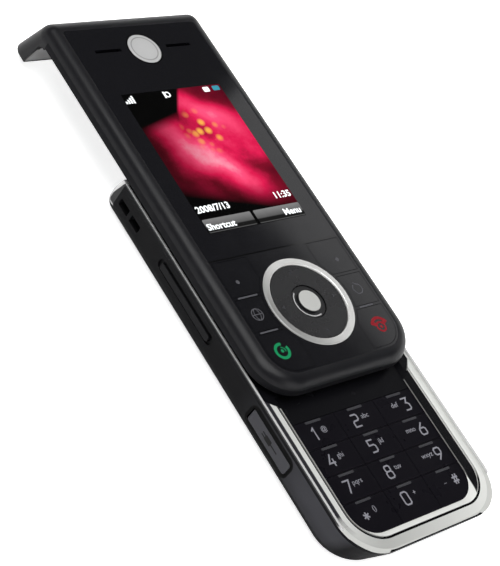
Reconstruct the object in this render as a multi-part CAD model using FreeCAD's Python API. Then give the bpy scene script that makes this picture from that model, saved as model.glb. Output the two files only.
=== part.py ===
import FreeCAD, Part
import math
import os

from FreeCAD import Vector

# Slider phone, lying on its back and slid open. Millimetres, +Z out of the display, +Y towards the
# earpiece, origin at the middle of the base's rear face.

os.makedirs("parts", exist_ok=True)

# ---------------------------------------------------------------------------------------------------------
# Driving dimensions
# ---------------------------------------------------------------------------------------------------------

# Outer sizes
BODY_WIDTH = 48.0
BASE_LENGTH = 102.0
LOWER_CORNER_RADIUS = 10.0
UPPER_CORNER_RADIUS = 1.2
REAR_EDGE_RADIUS = 4.0
FACE_EDGE_RADIUS = 3.2
END_UNDERCUT = 3.6  # how far the lower end leans in towards the rear face
END_LEAN = 1.4  # how far the upper end leans back at its crest
END_LEAN_DEPTH = 5.0  # height of the leaning part

# Clearances
SLIDER_GAP = 0.3  # trim crest to slider underside
SEAM_GAP = 0.05  # between static covers
NEST_GAP = 0.1  # a shell that drops into another
KEY_GAP = 0.12  # round a key cap
KEY_TRAVEL = 0.25
KEY_REST = 0.05  # left under a fully pressed key
STEM_GAP = 0.2  # round a key stem
RAIL_GAP = 0.15  # slide rail running gap
PIVOT_GAP = 0.05  # radial gap of hinge trunnions

# Base shells
SHELL_WALL = 1.2
REAR_WALL = 1.2
COVER_WALL = 1.1
COVER_SPLIT_HEIGHT = 3.0  # top edge of the battery cover's sides
COVER_SPLIT_FROM_TOP = 29.0  # upper edge of the battery cover from the upper end
DECK_FLOOR = 0.8
DECK_FLANGE = 0.8  # deck rim that rests on the rear housing's walls
DECK_STEP = 0.5  # deck surface below the trim crest
PAN_END_WALL = 3.4  # upper end of the phone to the recess of the slide mechanism

# Battery bay
BATTERY_SIDE_MARGIN = 7.1
BATTERY_LENGTH = 50.0
BATTERY_THICKNESS = 3.7
BATTERY_GAP = 0.15
BATTERY_FROM_LOW_END = 7.6
BAY_CEILING = 0.6
SIM_FRAME_WIDTH = 26.0
SIM_FRAME_LENGTH = 16.0
SIM_FRAME_SHEET = 0.25
SIM_FRAME_RIM = 2.0
CONTACT_PITCH = 3.0
CONTACT_WIDTH = 1.2
CONTACT_DEPTH = 1.8
CONTACT_HEIGHT = 3.8

# Number keypad
KEYPAD_SIDE_MARGIN = 5.1
KEYPAD_LOW_MARGIN = 4.8  # lower end of the phone to the keypad
KEY_ROW_PITCH = 6.75
LAST_ROW_EXTRA = 1.6
KEYPAD_CORNER_RADIUS = 6.5
KEY_CAP = 0.7
KEY_STEM_RADIUS = 1.5
KEYPAD_BARED = 5.1  # strip between the keys and the opened slider
KEYPAD_APRON = 8.1  # fixed strip between the keys and the slide mechanism
KEYPAD_SHEET_GAP = 0.3
DOME_SHEET = 0.2
DOME_RISE = 0.05
DOME_RADIUS = 2.0
DOME_SHEET_MARGIN = 1.5

# Bright frame round the keypad
FRAME_BEVEL = 1.5
FRAME_CREST = 0.6
FRAME_GROOVE = 0.25  # narrow groove along the middle of the crest
FRAME_GROOVE_DEPTH = 0.4
FRAME_EDGE_MARGIN = 0.9  # frame's outer edge to the side of the phone
FRAME_END_MARGIN = 0.6  # the same at the lower end
HORN_LENGTH = 35.3  # keypad lower edge to the horn tips
HORN_TAPER = 4.5

# Bright trim
TRIM_HEIGHT = 0.5
TRIM_WIDTH = 0.5
TRIM_LOW_END = 8.0  # where the strip starts, from the lower end
CAP_THICKNESS = 1.4
CAP_HEIGHT = 7.6

# Slide mechanism
HEM_SIDE_CLEARANCE = 0.4  # hem to the side of the keypad well
HEM_ABOVE_KEYS = 0.35
HEM_LIP = 0.35
HEM_SHEET = 0.5
HEM_LANE = 1.3  # free lane outside the hems
RAIL_FLANGE = 1.85
RAIL_SHEET = 0.4
FLANGE_SHEET = 0.3
MOVING_PLATE_LENGTH = 50.0
MOVING_PLATE_SHEET = 0.5
MOVING_PLATE_OVERHANG = 8.0  # beyond the base's upper end when open
RIVET_RADIUS = 0.6
RIVET_HEAD_RADIUS = 1.1
RIVET_HEAD = 0.2
STAKE_RADIUS = 0.8
STAKE_HEAD_RADIUS = 1.4
STAKE_HEAD = 0.3
STAKE_SIDE_INSET = 4.0
STAKE_END_INSET = 5.0
FIXED_PIVOT_INSET = 3.5  # from the outside of the fixed plate's web
MOVING_PIVOT_X = 6.5
SPRING_WIRE_RADIUS = 0.25
SPRING_LEG_RADIUS = 0.22
SPRING_EYE_RADIUS = 0.95
SPRING_COIL_RADIUS = 2.2
SPRING_COIL_FROM_PIVOT = 13.0
SPRING_LIFT = 0.5
SPRING_LAYER_GAP = 0.05
RIBBON_WIDTH = 8.0
RIBBON_THICKNESS = 0.15
RIBBON_SLOT = 0.8
RIBBON_FOLD = 3.0
RIBBON_REACH = 30.0  # from the fixed slot to the moving slot when open
RIBBON_FROM_TOP = 37.0

# Electronics of the base
BOARD_THICKNESS = 0.8
BOARD_SIDE_MARGIN = 3.2
BOARD_END_GAP = 1.0
CAMERA_SIZE = 8.6
CAMERA_FROM_TOP = 14.0
CAMERA_BARREL_RADIUS = 3.0
CAMERA_WINDOW_RADIUS = 4.4
CAMERA_WINDOW_THICKNESS = 0.6
CAMERA_WINDOW_SINK = 0.1
SPEAKER_RADIUS = 6.5
SPEAKER_HEIGHT = 3.3
SPEAKER_X = 13.5
SPEAKER_FROM_TOP = 15.0
SPEAKER_SLOT_WIDTH = 1.0
SPEAKER_SLOT_LENGTH = 8.0
SPEAKER_SLOT_PITCH = 2.2
SPEAKER_SLOTS = 4
MOTOR_RADIUS = 4.0
MOTOR_HEIGHT = 2.8
MOTOR_X = -13.0
MOTOR_FROM_TOP = 20.5
END_PIECE_MARGIN = 0.6  # wall between the battery bay and the antenna and microphone
ANTENNA_LENGTH = 23.6
ANTENNA_WIDTH = 1.6
ANTENNA_SHEET = 0.3
ANTENNA_POCKET = 0.9
MICROPHONE_SIZE = 3.0
MICROPHONE_HEIGHT = 1.1
MICROPHONE_X = 15.5

# Charging socket and its cover in the left wall
SOCKET_WIDTH = 7.6
SOCKET_HEIGHT = 2.6
SOCKET_DEPTH = 5.2
SOCKET_SHELL = 0.3
SOCKET_UNDER_DECK = 0.2
SOCKET_SINK = 0.2  # socket nose behind the cover's recess
PORT_LENGTH = 15.1
PORT_HEIGHT = 3.6
PORT_FROM_LOW_END = 25.3
PORT_DEPTH = 1.3
PORT_GAP = 0.15
PORT_CORNER_RADIUS = 0.7
PORT_BACKING = 0.9
TRUNNION_RADIUS = 0.35
TRUNNION_LENGTH = 0.45

# Strap post in the left wall
STRAP_SLOT_HEIGHT = 2.0
STRAP_UNDER_DECK = 0.3
STRAP_FROM_TOP = 3.8
STRAP_SLOT_LENGTH = 8.6
STRAP_POST_WIDTH = 1.2
STRAP_POST_DEPTH = 1.4
STRAP_CHANNEL = 1.2
STRAP_BACKING = 1.2
STRAP_CORNER_RADIUS = 0.45

# Side keys
SIDE_KEY_HEIGHT = 1.8
SIDE_KEY_BELOW_BOARD_TOP = 0.2
SIDE_KEY_PROUD = 0.3
SIDE_KEY_BODY = 1.25
SIDE_KEY_CORNER_RADIUS = 0.6
SIDE_KEY_GAP = 0.15
SIDE_KEY_FLANGE = 0.3
SIDE_KEY_FLANGE_GAP = 0.3  # lets a rocked key swing
SIDE_KEY_FLANGE_LAP = 0.6
SIDE_KEY_NUB = 0.25
NUB_WIDTH = 1.6
VOLUME_LENGTH = 20.6
VOLUME_FROM_TOP = 32.7  # middle of the rocker
VOLUME_NUB_OFFSET = 6.0
VOLUME_RECESS_LENGTH = 22.8
VOLUME_RECESS_HEIGHT = 2.8
VOLUME_RECESS_DEPTH = 0.5
VOLUME_RECESS_RADIUS = 1.25
CAMERA_KEY_LENGTH = 8.0
CAMERA_KEY_FROM_LOW_END = 39.0
SWITCH_WIDTH = 3.0
SWITCH_HEIGHT = 1.2

# Screws
CASE_SCREW_RADIUS = 0.7
CASE_SCREW_HEAD_RADIUS = 1.4
CASE_SCREW_HEAD = 1.0
CASE_SCREW_SINK = 0.8
CASE_SCREW_SIDE_INSET = 4.0
CASE_SCREW_LOW_INSET = 12.5
CASE_SCREW_HIGH_INSET = 34.5
SLIDER_SCREW_RADIUS = 0.6
SLIDER_SCREW_HEAD_RADIUS = 1.1
SLIDER_SCREW_HEAD = 0.4
SLIDER_SCREW_SIDE_INSET = 3.1
SLIDER_SCREW_BOSS = 1.6
SLIDER_SCREW_COUNT = 3  # each side
SLIDER_SCREW_PITCH = 36.0
SLIDER_SCREW_FIRST = 13.0

# Slider shells
SLIDER_WALL = 1.3
SLIDER_FLOOR = 0.6
REAR_COVER_DEPTH = 2.3
REAR_COVER_CHAMFER = 0.6
INNER_PLATE = 0.8
WINDOW_THICKNESS = 1.0
WINDOW_SIDE_MARGIN = 3.7
WINDOW_LOW_MARGIN = 3.3
WINDOW_HIGH_MARGIN = 0.9
WINDOW_CORNER_RADIUS = 6.5
WINDOW_TOP_RADIUS = 1.0
PANEL_SEAM = 34.1  # slider lower end to the seam between key panel and display window

# Lip that hooks over the base's upper end
LIP_GAP = 1.1  # to the base's upper end when closed
LIP_THICKNESS = 5.5
LIP_LEAN = 1.7
LIP_TIP_HEIGHT = 2.5  # above the rear face
LIP_TIP_ROUND = 0.7
LIP_ROOT_RADIUS = 2.0
LIP_INSET = 0.1  # flat display face ends this far before the lip's inner face
LIP_SHOULDER = 3.4  # rounding from the display face into the lip
LIP_JOINT = 2.2  # rear cover ends this far before the lip's inner face
LINER_THICKNESS = 1.0
LINER_MARGIN = 1.4
LINER_TIP_MARGIN = 0.5

# Slider electronics
SLIDER_BOARD_STANDOFF = 0.4
SLIDER_BOARD_THICKNESS = 0.5
SLIDER_BOARD_SIDE_MARGIN = 5.0
BOARD_PAD_RADIUS = 1.2
BOARD_PAD_X = 7.0
BOARD_PAD_HIGH_INSET = 8.0  # below the display's upper edge
DISPLAY_WIDTH = 35.0
DISPLAY_LENGTH = 46.0
DISPLAY_THICKNESS = 2.0
DISPLAY_OFF_CENTRE = 1.5  # from midway between seam and earpiece
DISPLAY_AIR = 0.1
DISPLAY_GAP = 0.1
EARPIECE_WIDTH = 12.0
EARPIECE_LENGTH = 6.4
EARPIECE_AIR = 0.3
EARPIECE_FROM_EDGE = 7.9
EAR_SLOT_INNER = 7.0
EAR_SLOT_OUTER = 14.7
EAR_SLOT_WIDTH = 0.9
SOUND_CHANNEL = 2.4
SOUND_CHANNEL_DEPTH = 0.6
BADGE_RADIUS = 4.45
BADGE_FROM_EDGE = 8.2
BADGE_DEPTH = 0.4
BADGE_PROUD = 0.1
BADGE_GAP = 0.15
BADGE_ROUND = 0.1

# Navigation key
NAV_FROM_LOW_END = 19.2
NAV_RING_OUTER = 11.8
NAV_RING_WIDTH = 1.8
NAV_RING_PROUD = 0.25
NAV_RING_ROUND = 0.4
NAV_PAD_GAP = 0.2
NAV_PAD_THICKNESS = 0.6
NAV_STEM_CIRCLE = 7.2
NAV_STEM_RADIUS = 1.0
NAV_STEM_GAP = 0.4
NAV_CARRIER_RADIUS = 8.6
NAV_CARRIER_THICKNESS = 0.3
NAV_CARRIER_GAP = 0.35
NAV_CARRIER_HOLE = 2.0
SELECT_RADIUS = 2.95
SELECT_FLANGE_RADIUS = 4.3
SELECT_FLANGE = 0.4
SELECT_PROUD = 0.2

# Function keys of the slider
FUNCTION_KEY_INNER = 9.5
FUNCTION_KEY_EDGE = 0.6  # key field to the edge of the face panel
FUNCTION_KEY_PITCH = 9.3
FUNCTION_KEY_WEB = 0.9
FUNCTION_KEY_RING_GAP = 0.8
FUNCTION_STEM_RADIUS = 1.2

# ---------------------------------------------------------------------------------------------------------
# Places worked out from them
# ---------------------------------------------------------------------------------------------------------

HALF_WIDTH = BODY_WIDTH / 2
BASE_LOW_Y = -BASE_LENGTH / 2
BASE_HIGH_Y = BASE_LENGTH / 2

# Heights, stacked up from the rear face
BATTERY_Z = COVER_WALL + NEST_GAP
BAY_CEILING_Z = BATTERY_Z + BATTERY_THICKNESS + BATTERY_GAP + SIM_FRAME_SHEET
BAY_CEILING_TOP_Z = BAY_CEILING_Z + BAY_CEILING
BOARD_Z = BAY_CEILING_TOP_Z + NEST_GAP
BOARD_TOP_Z = BOARD_Z + BOARD_THICKNESS
DOME_SHEET_TOP_Z = BOARD_TOP_Z + DOME_SHEET
DECK_FLOOR_Z = DOME_SHEET_TOP_Z + KEYPAD_SHEET_GAP
DECK_FLOOR_TOP_Z = DECK_FLOOR_Z + DECK_FLOOR
KEY_CAP_Z = DECK_FLOOR_TOP_Z + KEY_REST + KEY_TRAVEL
KEY_TOP_Z = KEY_CAP_Z + KEY_CAP
HEM_Z = KEY_TOP_Z + HEM_ABOVE_KEYS
HEM_TOP_Z = HEM_Z + HEM_LIP
FLANGE_Z = HEM_TOP_Z + RAIL_GAP
FLANGE_TOP_Z = FLANGE_Z + FLANGE_SHEET
MOVING_PLATE_Z = FLANGE_TOP_Z + RAIL_GAP
SLIDER_LOW_Z = MOVING_PLATE_Z + MOVING_PLATE_SHEET
BASE_HEIGHT = SLIDER_LOW_Z - SLIDER_GAP  # rear face to the crest of the bright trim
DECK_TOP_Z = BASE_HEIGHT - DECK_STEP
SHOULDER_HEIGHT = DECK_TOP_Z - DECK_FLANGE  # where the rear housing ends and the deck begins
CAP_LOW_Z = BASE_HEIGHT - CAP_HEIGHT

# Heights of the slider
SLIDER_FLOOR_TOP_Z = SLIDER_LOW_Z + SLIDER_FLOOR
SLIDER_BOARD_Z = SLIDER_FLOOR_TOP_Z + SLIDER_BOARD_STANDOFF
SLIDER_BOARD_TOP_Z = SLIDER_BOARD_Z + SLIDER_BOARD_THICKNESS
DISPLAY_TOP_Z = SLIDER_BOARD_TOP_Z + DISPLAY_THICKNESS
WINDOW_Z = DISPLAY_TOP_Z + DISPLAY_AIR
FACE_Z = WINDOW_Z + WINDOW_THICKNESS
INNER_PLATE_Z = WINDOW_Z - INNER_PLATE
PART_LINE_Z = SLIDER_LOW_Z + REAR_COVER_DEPTH
CAP_KEY_Z = WINDOW_Z + KEY_TRAVEL + KEY_REST  # underside of the slider's key caps
SLIDER_STEM_Z = SLIDER_BOARD_TOP_Z + DOME_SHEET + DOME_RISE + KEY_TRAVEL + KEY_REST

# Along the length
COVER_SPLIT_Y = BASE_HIGH_Y - COVER_SPLIT_FROM_TOP
CAVITY_HIGH_Y = BASE_HIGH_Y - CAP_THICKNESS - SHELL_WALL
KEYPAD_LOW_Y = BASE_LOW_Y + KEYPAD_LOW_MARGIN
KEYPAD_HIGH_Y = KEYPAD_LOW_Y + 4 * KEY_ROW_PITCH + LAST_ROW_EXTRA
PAN_LOW_Y = KEYPAD_HIGH_Y + KEYPAD_APRON
PAN_HIGH_Y = BASE_HIGH_Y - PAN_END_WALL
SLIDER_LOW_Y = KEYPAD_HIGH_Y + KEYPAD_BARED
SLIDE_TRAVEL = SLIDER_LOW_Y - BASE_LOW_Y
LIP_ROOT_Y = BASE_HIGH_Y + SLIDE_TRAVEL + LIP_GAP
LIP_OUTER_Y = LIP_ROOT_Y + LIP_LEAN + LIP_THICKNESS
FACE_EDGE_Y = LIP_ROOT_Y - LIP_INSET
REAR_COVER_HIGH_Y = LIP_ROOT_Y - LIP_JOINT
WINDOW_LOW_Y = SLIDER_LOW_Y + WINDOW_LOW_MARGIN
WINDOW_HIGH_Y = FACE_EDGE_Y - WINDOW_HIGH_MARGIN
SEAM_Y = SLIDER_LOW_Y + PANEL_SEAM
NAV_Y = SLIDER_LOW_Y + NAV_FROM_LOW_END
EARPIECE_Y = FACE_EDGE_Y - EARPIECE_FROM_EDGE
BADGE_Y = FACE_EDGE_Y - BADGE_FROM_EDGE
DISPLAY_Y = (SEAM_Y + EARPIECE_Y - EARPIECE_LENGTH / 2) / 2 - DISPLAY_OFF_CENTRE
FIXED_PLATE_LOW_Y = PAN_LOW_Y + SEAM_GAP
FIXED_PLATE_HIGH_Y = PAN_HIGH_Y - SEAM_GAP
MOVING_PLATE_HIGH_Y = BASE_HIGH_Y + MOVING_PLATE_OVERHANG
MOVING_PLATE_LOW_Y = MOVING_PLATE_HIGH_Y - MOVING_PLATE_LENGTH
FIXED_PIVOT_Y = (FIXED_PLATE_LOW_Y + FIXED_PLATE_HIGH_Y) / 2
MOVING_PIVOT_Y = FIXED_PIVOT_Y + SLIDE_TRAVEL / 2
RIBBON_FIXED_Y = BASE_HIGH_Y - RIBBON_FROM_TOP
RIBBON_MOVING_Y = RIBBON_FIXED_Y + RIBBON_REACH
BAY_LOW_Y = BASE_LOW_Y + BATTERY_FROM_LOW_END - BATTERY_GAP
BAY_HIGH_Y = BAY_LOW_Y + BATTERY_LENGTH + 2 * BATTERY_GAP
END_PIECE_HIGH_Y = BAY_LOW_Y - END_PIECE_MARGIN
PORT_LOW_Y = BASE_LOW_Y + PORT_FROM_LOW_END
PORT_HIGH_Y = PORT_LOW_Y + PORT_LENGTH
SOCKET_Y = (PORT_LOW_Y + PORT_HIGH_Y) / 2
VOLUME_Y = BASE_HIGH_Y - VOLUME_FROM_TOP
CAMERA_KEY_Y = BASE_LOW_Y + CAMERA_KEY_FROM_LOW_END
CAMERA_Y = BASE_HIGH_Y - CAMERA_FROM_TOP
STRAP_HIGH_Y = BASE_HIGH_Y - STRAP_FROM_TOP
STRAP_LOW_Y = STRAP_HIGH_Y - STRAP_SLOT_LENGTH

# Across the width
KEYPAD_HALF_WIDTH = HALF_WIDTH - KEYPAD_SIDE_MARGIN
BATTERY_HALF_WIDTH = HALF_WIDTH - BATTERY_SIDE_MARGIN
BAY_HALF_WIDTH = BATTERY_HALF_WIDTH + BATTERY_GAP
BOARD_HALF_WIDTH = HALF_WIDTH - BOARD_SIDE_MARGIN
HEM_OUTER_X = KEYPAD_HALF_WIDTH - HEM_SIDE_CLEARANCE
HEM_INNER_X = HEM_OUTER_X - HEM_SHEET
LANE_X = HEM_OUTER_X + HEM_LANE
FLANGE_OUTER_X = HEM_INNER_X - RAIL_GAP
RAIL_HALF_WIDTH = FLANGE_OUTER_X - RAIL_FLANGE
FIXED_PIVOT_X = RAIL_HALF_WIDTH - FIXED_PIVOT_INSET
STAKE_X = RAIL_HALF_WIDTH - STAKE_SIDE_INSET
CASE_SCREW_X = HALF_WIDTH - CASE_SCREW_SIDE_INSET
SLIDER_SCREW_X = HALF_WIDTH - SLIDER_SCREW_SIDE_INSET
SLIDER_BOARD_HALF_WIDTH = HALF_WIDTH - SLIDER_BOARD_SIDE_MARGIN
WINDOW_HALF_WIDTH = HALF_WIDTH - WINDOW_SIDE_MARGIN
FUNCTION_KEY_OUTER = WINDOW_HALF_WIDTH - FUNCTION_KEY_EDGE
NAV_RING_INNER = NAV_RING_OUTER - NAV_RING_WIDTH
PORT_INNER_X = HALF_WIDTH - PORT_DEPTH
PORT_BACKING_X = PORT_INNER_X - PORT_BACKING
SIDE_KEY_BODY_X = HALF_WIDTH + SIDE_KEY_PROUD - SIDE_KEY_BODY
SIDE_KEY_FLANGE_X = HALF_WIDTH - SHELL_WALL - SIDE_KEY_FLANGE_GAP
SIDE_KEY_NUB_X = SIDE_KEY_FLANGE_X - SIDE_KEY_FLANGE - SIDE_KEY_NUB
SWITCH_FACE_X = SIDE_KEY_NUB_X - KEY_TRAVEL - KEY_REST

# Heights of the side features and of the springs
SOCKET_MIDDLE_Z = DECK_FLOOR_Z - SOCKET_UNDER_DECK - SOCKET_HEIGHT / 2
PORT_LOW_Z = SOCKET_MIDDLE_Z - PORT_HEIGHT / 2
STRAP_TOP_Z = DECK_FLOOR_Z - STRAP_UNDER_DECK
STRAP_LOW_Z = STRAP_TOP_Z - STRAP_SLOT_HEIGHT
SIDE_KEY_MIDDLE_Z = BOARD_TOP_Z - SIDE_KEY_BELOW_BOARD_TOP
SIDE_KEY_LOW_Z = SIDE_KEY_MIDDLE_Z - SIDE_KEY_HEIGHT / 2
PAN_TOP_Z = DECK_FLOOR_TOP_Z + RAIL_SHEET
SPRING_LOW_Z = PAN_TOP_Z + SPRING_LIFT + SPRING_WIRE_RADIUS
SPRING_HIGH_Z = SPRING_LOW_Z + 2 * SPRING_WIRE_RADIUS + SPRING_LAYER_GAP

# ---------------------------------------------------------------------------------------------------------
# Shape helpers
# ---------------------------------------------------------------------------------------------------------


def box(x0, x1, y0, y1, z0, z1):
    """Block between two corners."""
    return Part.makeBox(x1 - x0, y1 - y0, z1 - z0, Vector(x0, y0, z0))


def mirrored_box(x0, x1, y0, y1, z0, z1):
    """Block on each side of the middle plane."""
    return [box(x0, x1, y0, y1, z0, z1), box(-x1, -x0, y0, y1, z0, z1)]


def post(radius, x, y, z0, z1):
    """Upright cylinder."""
    return Part.makeCylinder(radius, z1 - z0, Vector(x, y, z0))


def outline(half_width, low_y, high_y, low_radius, high_radius, z):
    """Closed plan outline with rounded corners."""
    turn = math.sqrt(0.5)
    corners = [
        (half_width, high_y, 1, 1, high_radius),
        (-half_width, high_y, -1, 1, high_radius),
        (-half_width, low_y, -1, -1, low_radius),
        (half_width, low_y, 1, -1, low_radius),
    ]
    arcs = []
    for index, (x, y, side, end, radius) in enumerate(corners):
        centre = Vector(x - side * radius, y - end * radius, z)
        on_side = centre + Vector(side * radius, 0, 0)
        on_end = centre + Vector(0, end * radius, 0)
        middle = centre + Vector(side * turn * radius, end * turn * radius, 0)
        first, last = (on_side, on_end) if index % 2 == 0 else (on_end, on_side)
        arcs.append((first, middle, last))
    edges = []
    for index, (first, middle, last) in enumerate(arcs):
        edges.append(Part.Arc(first, middle, last).toShape())
        edges.append(Part.LineSegment(last, arcs[(index + 1) % 4][0]).toShape())
    return Part.Wire(edges)


def rounded_block(half_width, low_y, high_y, low_radius, high_radius, z0, z1):
    """Upright block with rounded plan corners."""
    wire = outline(half_width, low_y, high_y, low_radius, high_radius, z0)
    return Part.Face(wire).extrude(Vector(0, 0, z1 - z0))


def side_block(x0, x1, y0, y1, z0, z1, radius):
    """Block along X whose corners are rounded as seen from the side."""
    block = box(x0, x1, y0, y1, z0, z1)
    half_depth = abs(x1 - x0) / 2
    edges = [e for e in block.Edges if abs(e.Vertexes[0].Point.x - e.Vertexes[-1].Point.x) > half_depth]
    return block.makeFillet(radius, edges)


def edges_where(shape, test):
    """Edges whose every end point passes the test."""
    return [e for e in shape.Edges if all(test(v.Point) for v in e.Vertexes)]


def fuse(parts):
    """One solid made of touching pieces."""
    whole = parts[0]
    if len(parts) > 1:
        whole = parts[0].fuse(parts[1:])
    return whole.removeSplitter()


def save(name, shape):
    """Writes one node, after a check that it is sound."""
    if not shape.isValid() or shape.Volume <= 0:
        raise ValueError(f"{name} is not a sound solid")
    shape.exportStep(f"parts/{name}.step")
    corner = shape.optimalBoundingBox(True, False)
    print(
        f"{name:20s} {len(shape.Solids)} solid(s) {shape.Volume:9.2f} mm3  "
        f"x {corner.XMin:.2f}..{corner.XMax:.2f}  y {corner.YMin:.2f}..{corner.YMax:.2f}  "
        f"z {corner.ZMin:.2f}..{corner.ZMax:.2f}"
    )


# ---------------------------------------------------------------------------------------------------------
# Envelopes
# ---------------------------------------------------------------------------------------------------------


def base_envelope(inset):
    """Outer form of the base, drawn in by a wall thickness."""
    low_y = BASE_LOW_Y + inset
    rear_low_y = low_y + END_UNDERCUT
    high_y = BASE_HIGH_Y - inset
    half_width = HALF_WIDTH - inset
    low_radius = LOWER_CORNER_RADIUS - inset
    high_radius = max(UPPER_CORNER_RADIUS - inset, UPPER_CORNER_RADIUS / 4)
    rear = outline(half_width, rear_low_y, high_y, low_radius, high_radius, inset)
    shoulder = outline(half_width, low_y, high_y, low_radius, high_radius, SHOULDER_HEIGHT)
    body = Part.makeLoft([rear, shoulder], True, True)
    body = body.makeFillet(
        REAR_EDGE_RADIUS - inset, edges_where(body, lambda p: abs(p.z - inset) < 1e-4)
    )
    upper = rounded_block(half_width, low_y, high_y, low_radius, high_radius, SHOULDER_HEIGHT, BASE_HEIGHT)
    return body.fuse(upper).cut(end_lean(high_y)).removeSplitter()


def end_lean(high_y):
    """Wedge taken off the upper end, whose crest leans back."""
    low_z = BASE_HEIGHT - END_LEAN_DEPTH
    corners = [
        (high_y, low_z), (high_y - 2 * END_LEAN, low_z + 2 * END_LEAN_DEPTH),
        (high_y + END_LEAN, low_z + 2 * END_LEAN_DEPTH), (high_y + END_LEAN, low_z),
    ]
    points = [Vector(-BODY_WIDTH, y, z) for y, z in corners + corners[:1]]
    return Part.Face(Part.makePolygon(points)).extrude(Vector(2 * BODY_WIDTH, 0, 0))


def base_slice(inset, z0, z1, y0=BASE_LOW_Y - 1, y1=BASE_HIGH_Y + 1):
    """Part of the base envelope between two heights and two stations along the length."""
    return base_envelope(inset).common(box(-BODY_WIDTH, BODY_WIDTH, y0, y1, z0, z1))


def lip_points():
    """Corners of the lip's side profile: inner side, inner foot, outer foot, shoulder and face edge."""
    fall = LIP_TIP_HEIGHT + LIP_TIP_ROUND
    inner_low = Vector(0, LIP_ROOT_Y + LIP_LEAN, fall)
    outer_low = Vector(0, LIP_OUTER_Y, fall)
    centre = Vector(0, FACE_EDGE_Y, FACE_Z - LIP_SHOULDER)
    reach = outer_low - centre
    turn = math.atan2(reach.z, reach.y) + math.acos(LIP_SHOULDER / reach.Length)
    end, middle, face_edge = [
        centre + Vector(0, math.cos(angle), math.sin(angle)) * LIP_SHOULDER
        for angle in (turn, (turn + math.pi / 2) / 2, math.pi / 2)
    ]
    outer_low += (outer_low - end) * (fall / (end.z - fall))
    return inner_low, Vector(0, inner_low.y, 0), outer_low, end, middle, face_edge


def root_arc():
    """Bend from the slider's underside into the lip's inner face."""
    centre = Vector(0, LIP_ROOT_Y - LIP_ROOT_RADIUS, SLIDER_LOW_Z - LIP_ROOT_RADIUS)
    turn = math.sqrt(0.5) * LIP_ROOT_RADIUS
    bend = Vector(0, turn, turn)
    return centre + Vector(0, 0, LIP_ROOT_RADIUS), centre + bend, centre + Vector(0, LIP_ROOT_RADIUS, 0)


def slider_envelope():
    """Outer form of the slider with its lip."""
    inner_low, inner_foot, outer_foot, shoulder_end, shoulder_middle, face_edge = lip_points()
    start, middle, end = root_arc()
    low_back = Vector(0, SLIDER_LOW_Y, SLIDER_LOW_Z)
    low_face = Vector(0, SLIDER_LOW_Y, FACE_Z)
    profile = Part.Wire(
        [
            Part.LineSegment(low_back, start).toShape(),
            Part.Arc(start, middle, end).toShape(),
            Part.LineSegment(end, inner_low).toShape(),
            Part.LineSegment(inner_low, inner_foot).toShape(),
            Part.LineSegment(inner_foot, outer_foot).toShape(),
            Part.LineSegment(outer_foot, shoulder_end).toShape(),
            Part.Arc(shoulder_end, shoulder_middle, face_edge).toShape(),
            Part.LineSegment(face_edge, low_face).toShape(),
            Part.LineSegment(low_face, low_back).toShape(),
        ]
    )
    slab = Part.Face(profile).extrude(Vector(BODY_WIDTH, 0, 0))
    slab.translate(Vector(-HALF_WIDTH, 0, 0))
    plan = rounded_block(
        HALF_WIDTH, SLIDER_LOW_Y, 2 * LIP_OUTER_Y, LOWER_CORNER_RADIUS, LOWER_CORNER_RADIUS, -1, 2 * FACE_Z
    )
    body = slab.common(plan)

    def on_rim(p):
        flat = Vector(0, p.y, p.z)
        return abs(p.z - FACE_Z) < 1e-4 or any(flat.isEqual(q, 1e-4) for q in (shoulder_end, outer_foot))

    rim = [
        e for e in edges_where(body, on_rim)
        if abs(e.CenterOfMass.x) > 1e-3 or e.CenterOfMass.y < FACE_EDGE_Y - 1
    ]
    body = body.makeFillet(FACE_EDGE_RADIUS, rim)
    body = body.cut(box(-BODY_WIDTH, BODY_WIDTH, LIP_ROOT_Y, 2 * LIP_OUTER_Y, -1, LIP_TIP_HEIGHT))
    tip = edges_where(body, lambda p: abs(p.z - LIP_TIP_HEIGHT) < 1e-4 and p.y > LIP_OUTER_Y)
    return body.makeFillet(LIP_TIP_ROUND, tip)


SLIDER_BODY = slider_envelope()


def slider_slice(y0, y1, z0, z1):
    """Part of the slider envelope between two stations and two heights."""
    return SLIDER_BODY.common(box(-BODY_WIDTH, BODY_WIDTH, y0, y1, z0, z1))


# ---------------------------------------------------------------------------------------------------------
# Base: shells and bright trim
# ---------------------------------------------------------------------------------------------------------


def hem_way():
    """Lane that the moving plate's hems run in, open through the upper end of the base."""
    return box(-LANE_X, LANE_X, PAN_LOW_Y, BASE_HIGH_Y + 1, HEM_Z - RAIL_GAP, SLIDER_LOW_Z)


def chrome_trim():
    """Thin bright strip along both upper edges, joined by the bright cap over the upper end."""
    strip = base_slice(0, BASE_HEIGHT - TRIM_HEIGHT, BASE_HEIGHT, y0=BASE_LOW_Y + TRIM_LOW_END)
    strip = strip.cut(base_slice(TRIM_WIDTH, 0, BASE_HEIGHT + 1))
    cap = base_slice(0, CAP_LOW_Z, BASE_HEIGHT, y0=BASE_HIGH_Y - CAP_THICKNESS - END_LEAN)
    behind = base_slice(0, 0, BASE_HEIGHT)
    behind.translate(Vector(0, -CAP_THICKNESS, 0))
    return fuse([strip, cap.cut(behind)]).cut(hem_way())


def frame_outline(margin, end_margin, radius, z):
    """Outline of the keypad frame at one height; it runs on past the frame's horns."""
    beyond = 2 * BASE_LENGTH
    return outline(HALF_WIDTH - margin, BASE_LOW_Y + end_margin, beyond, radius, radius, z)


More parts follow.
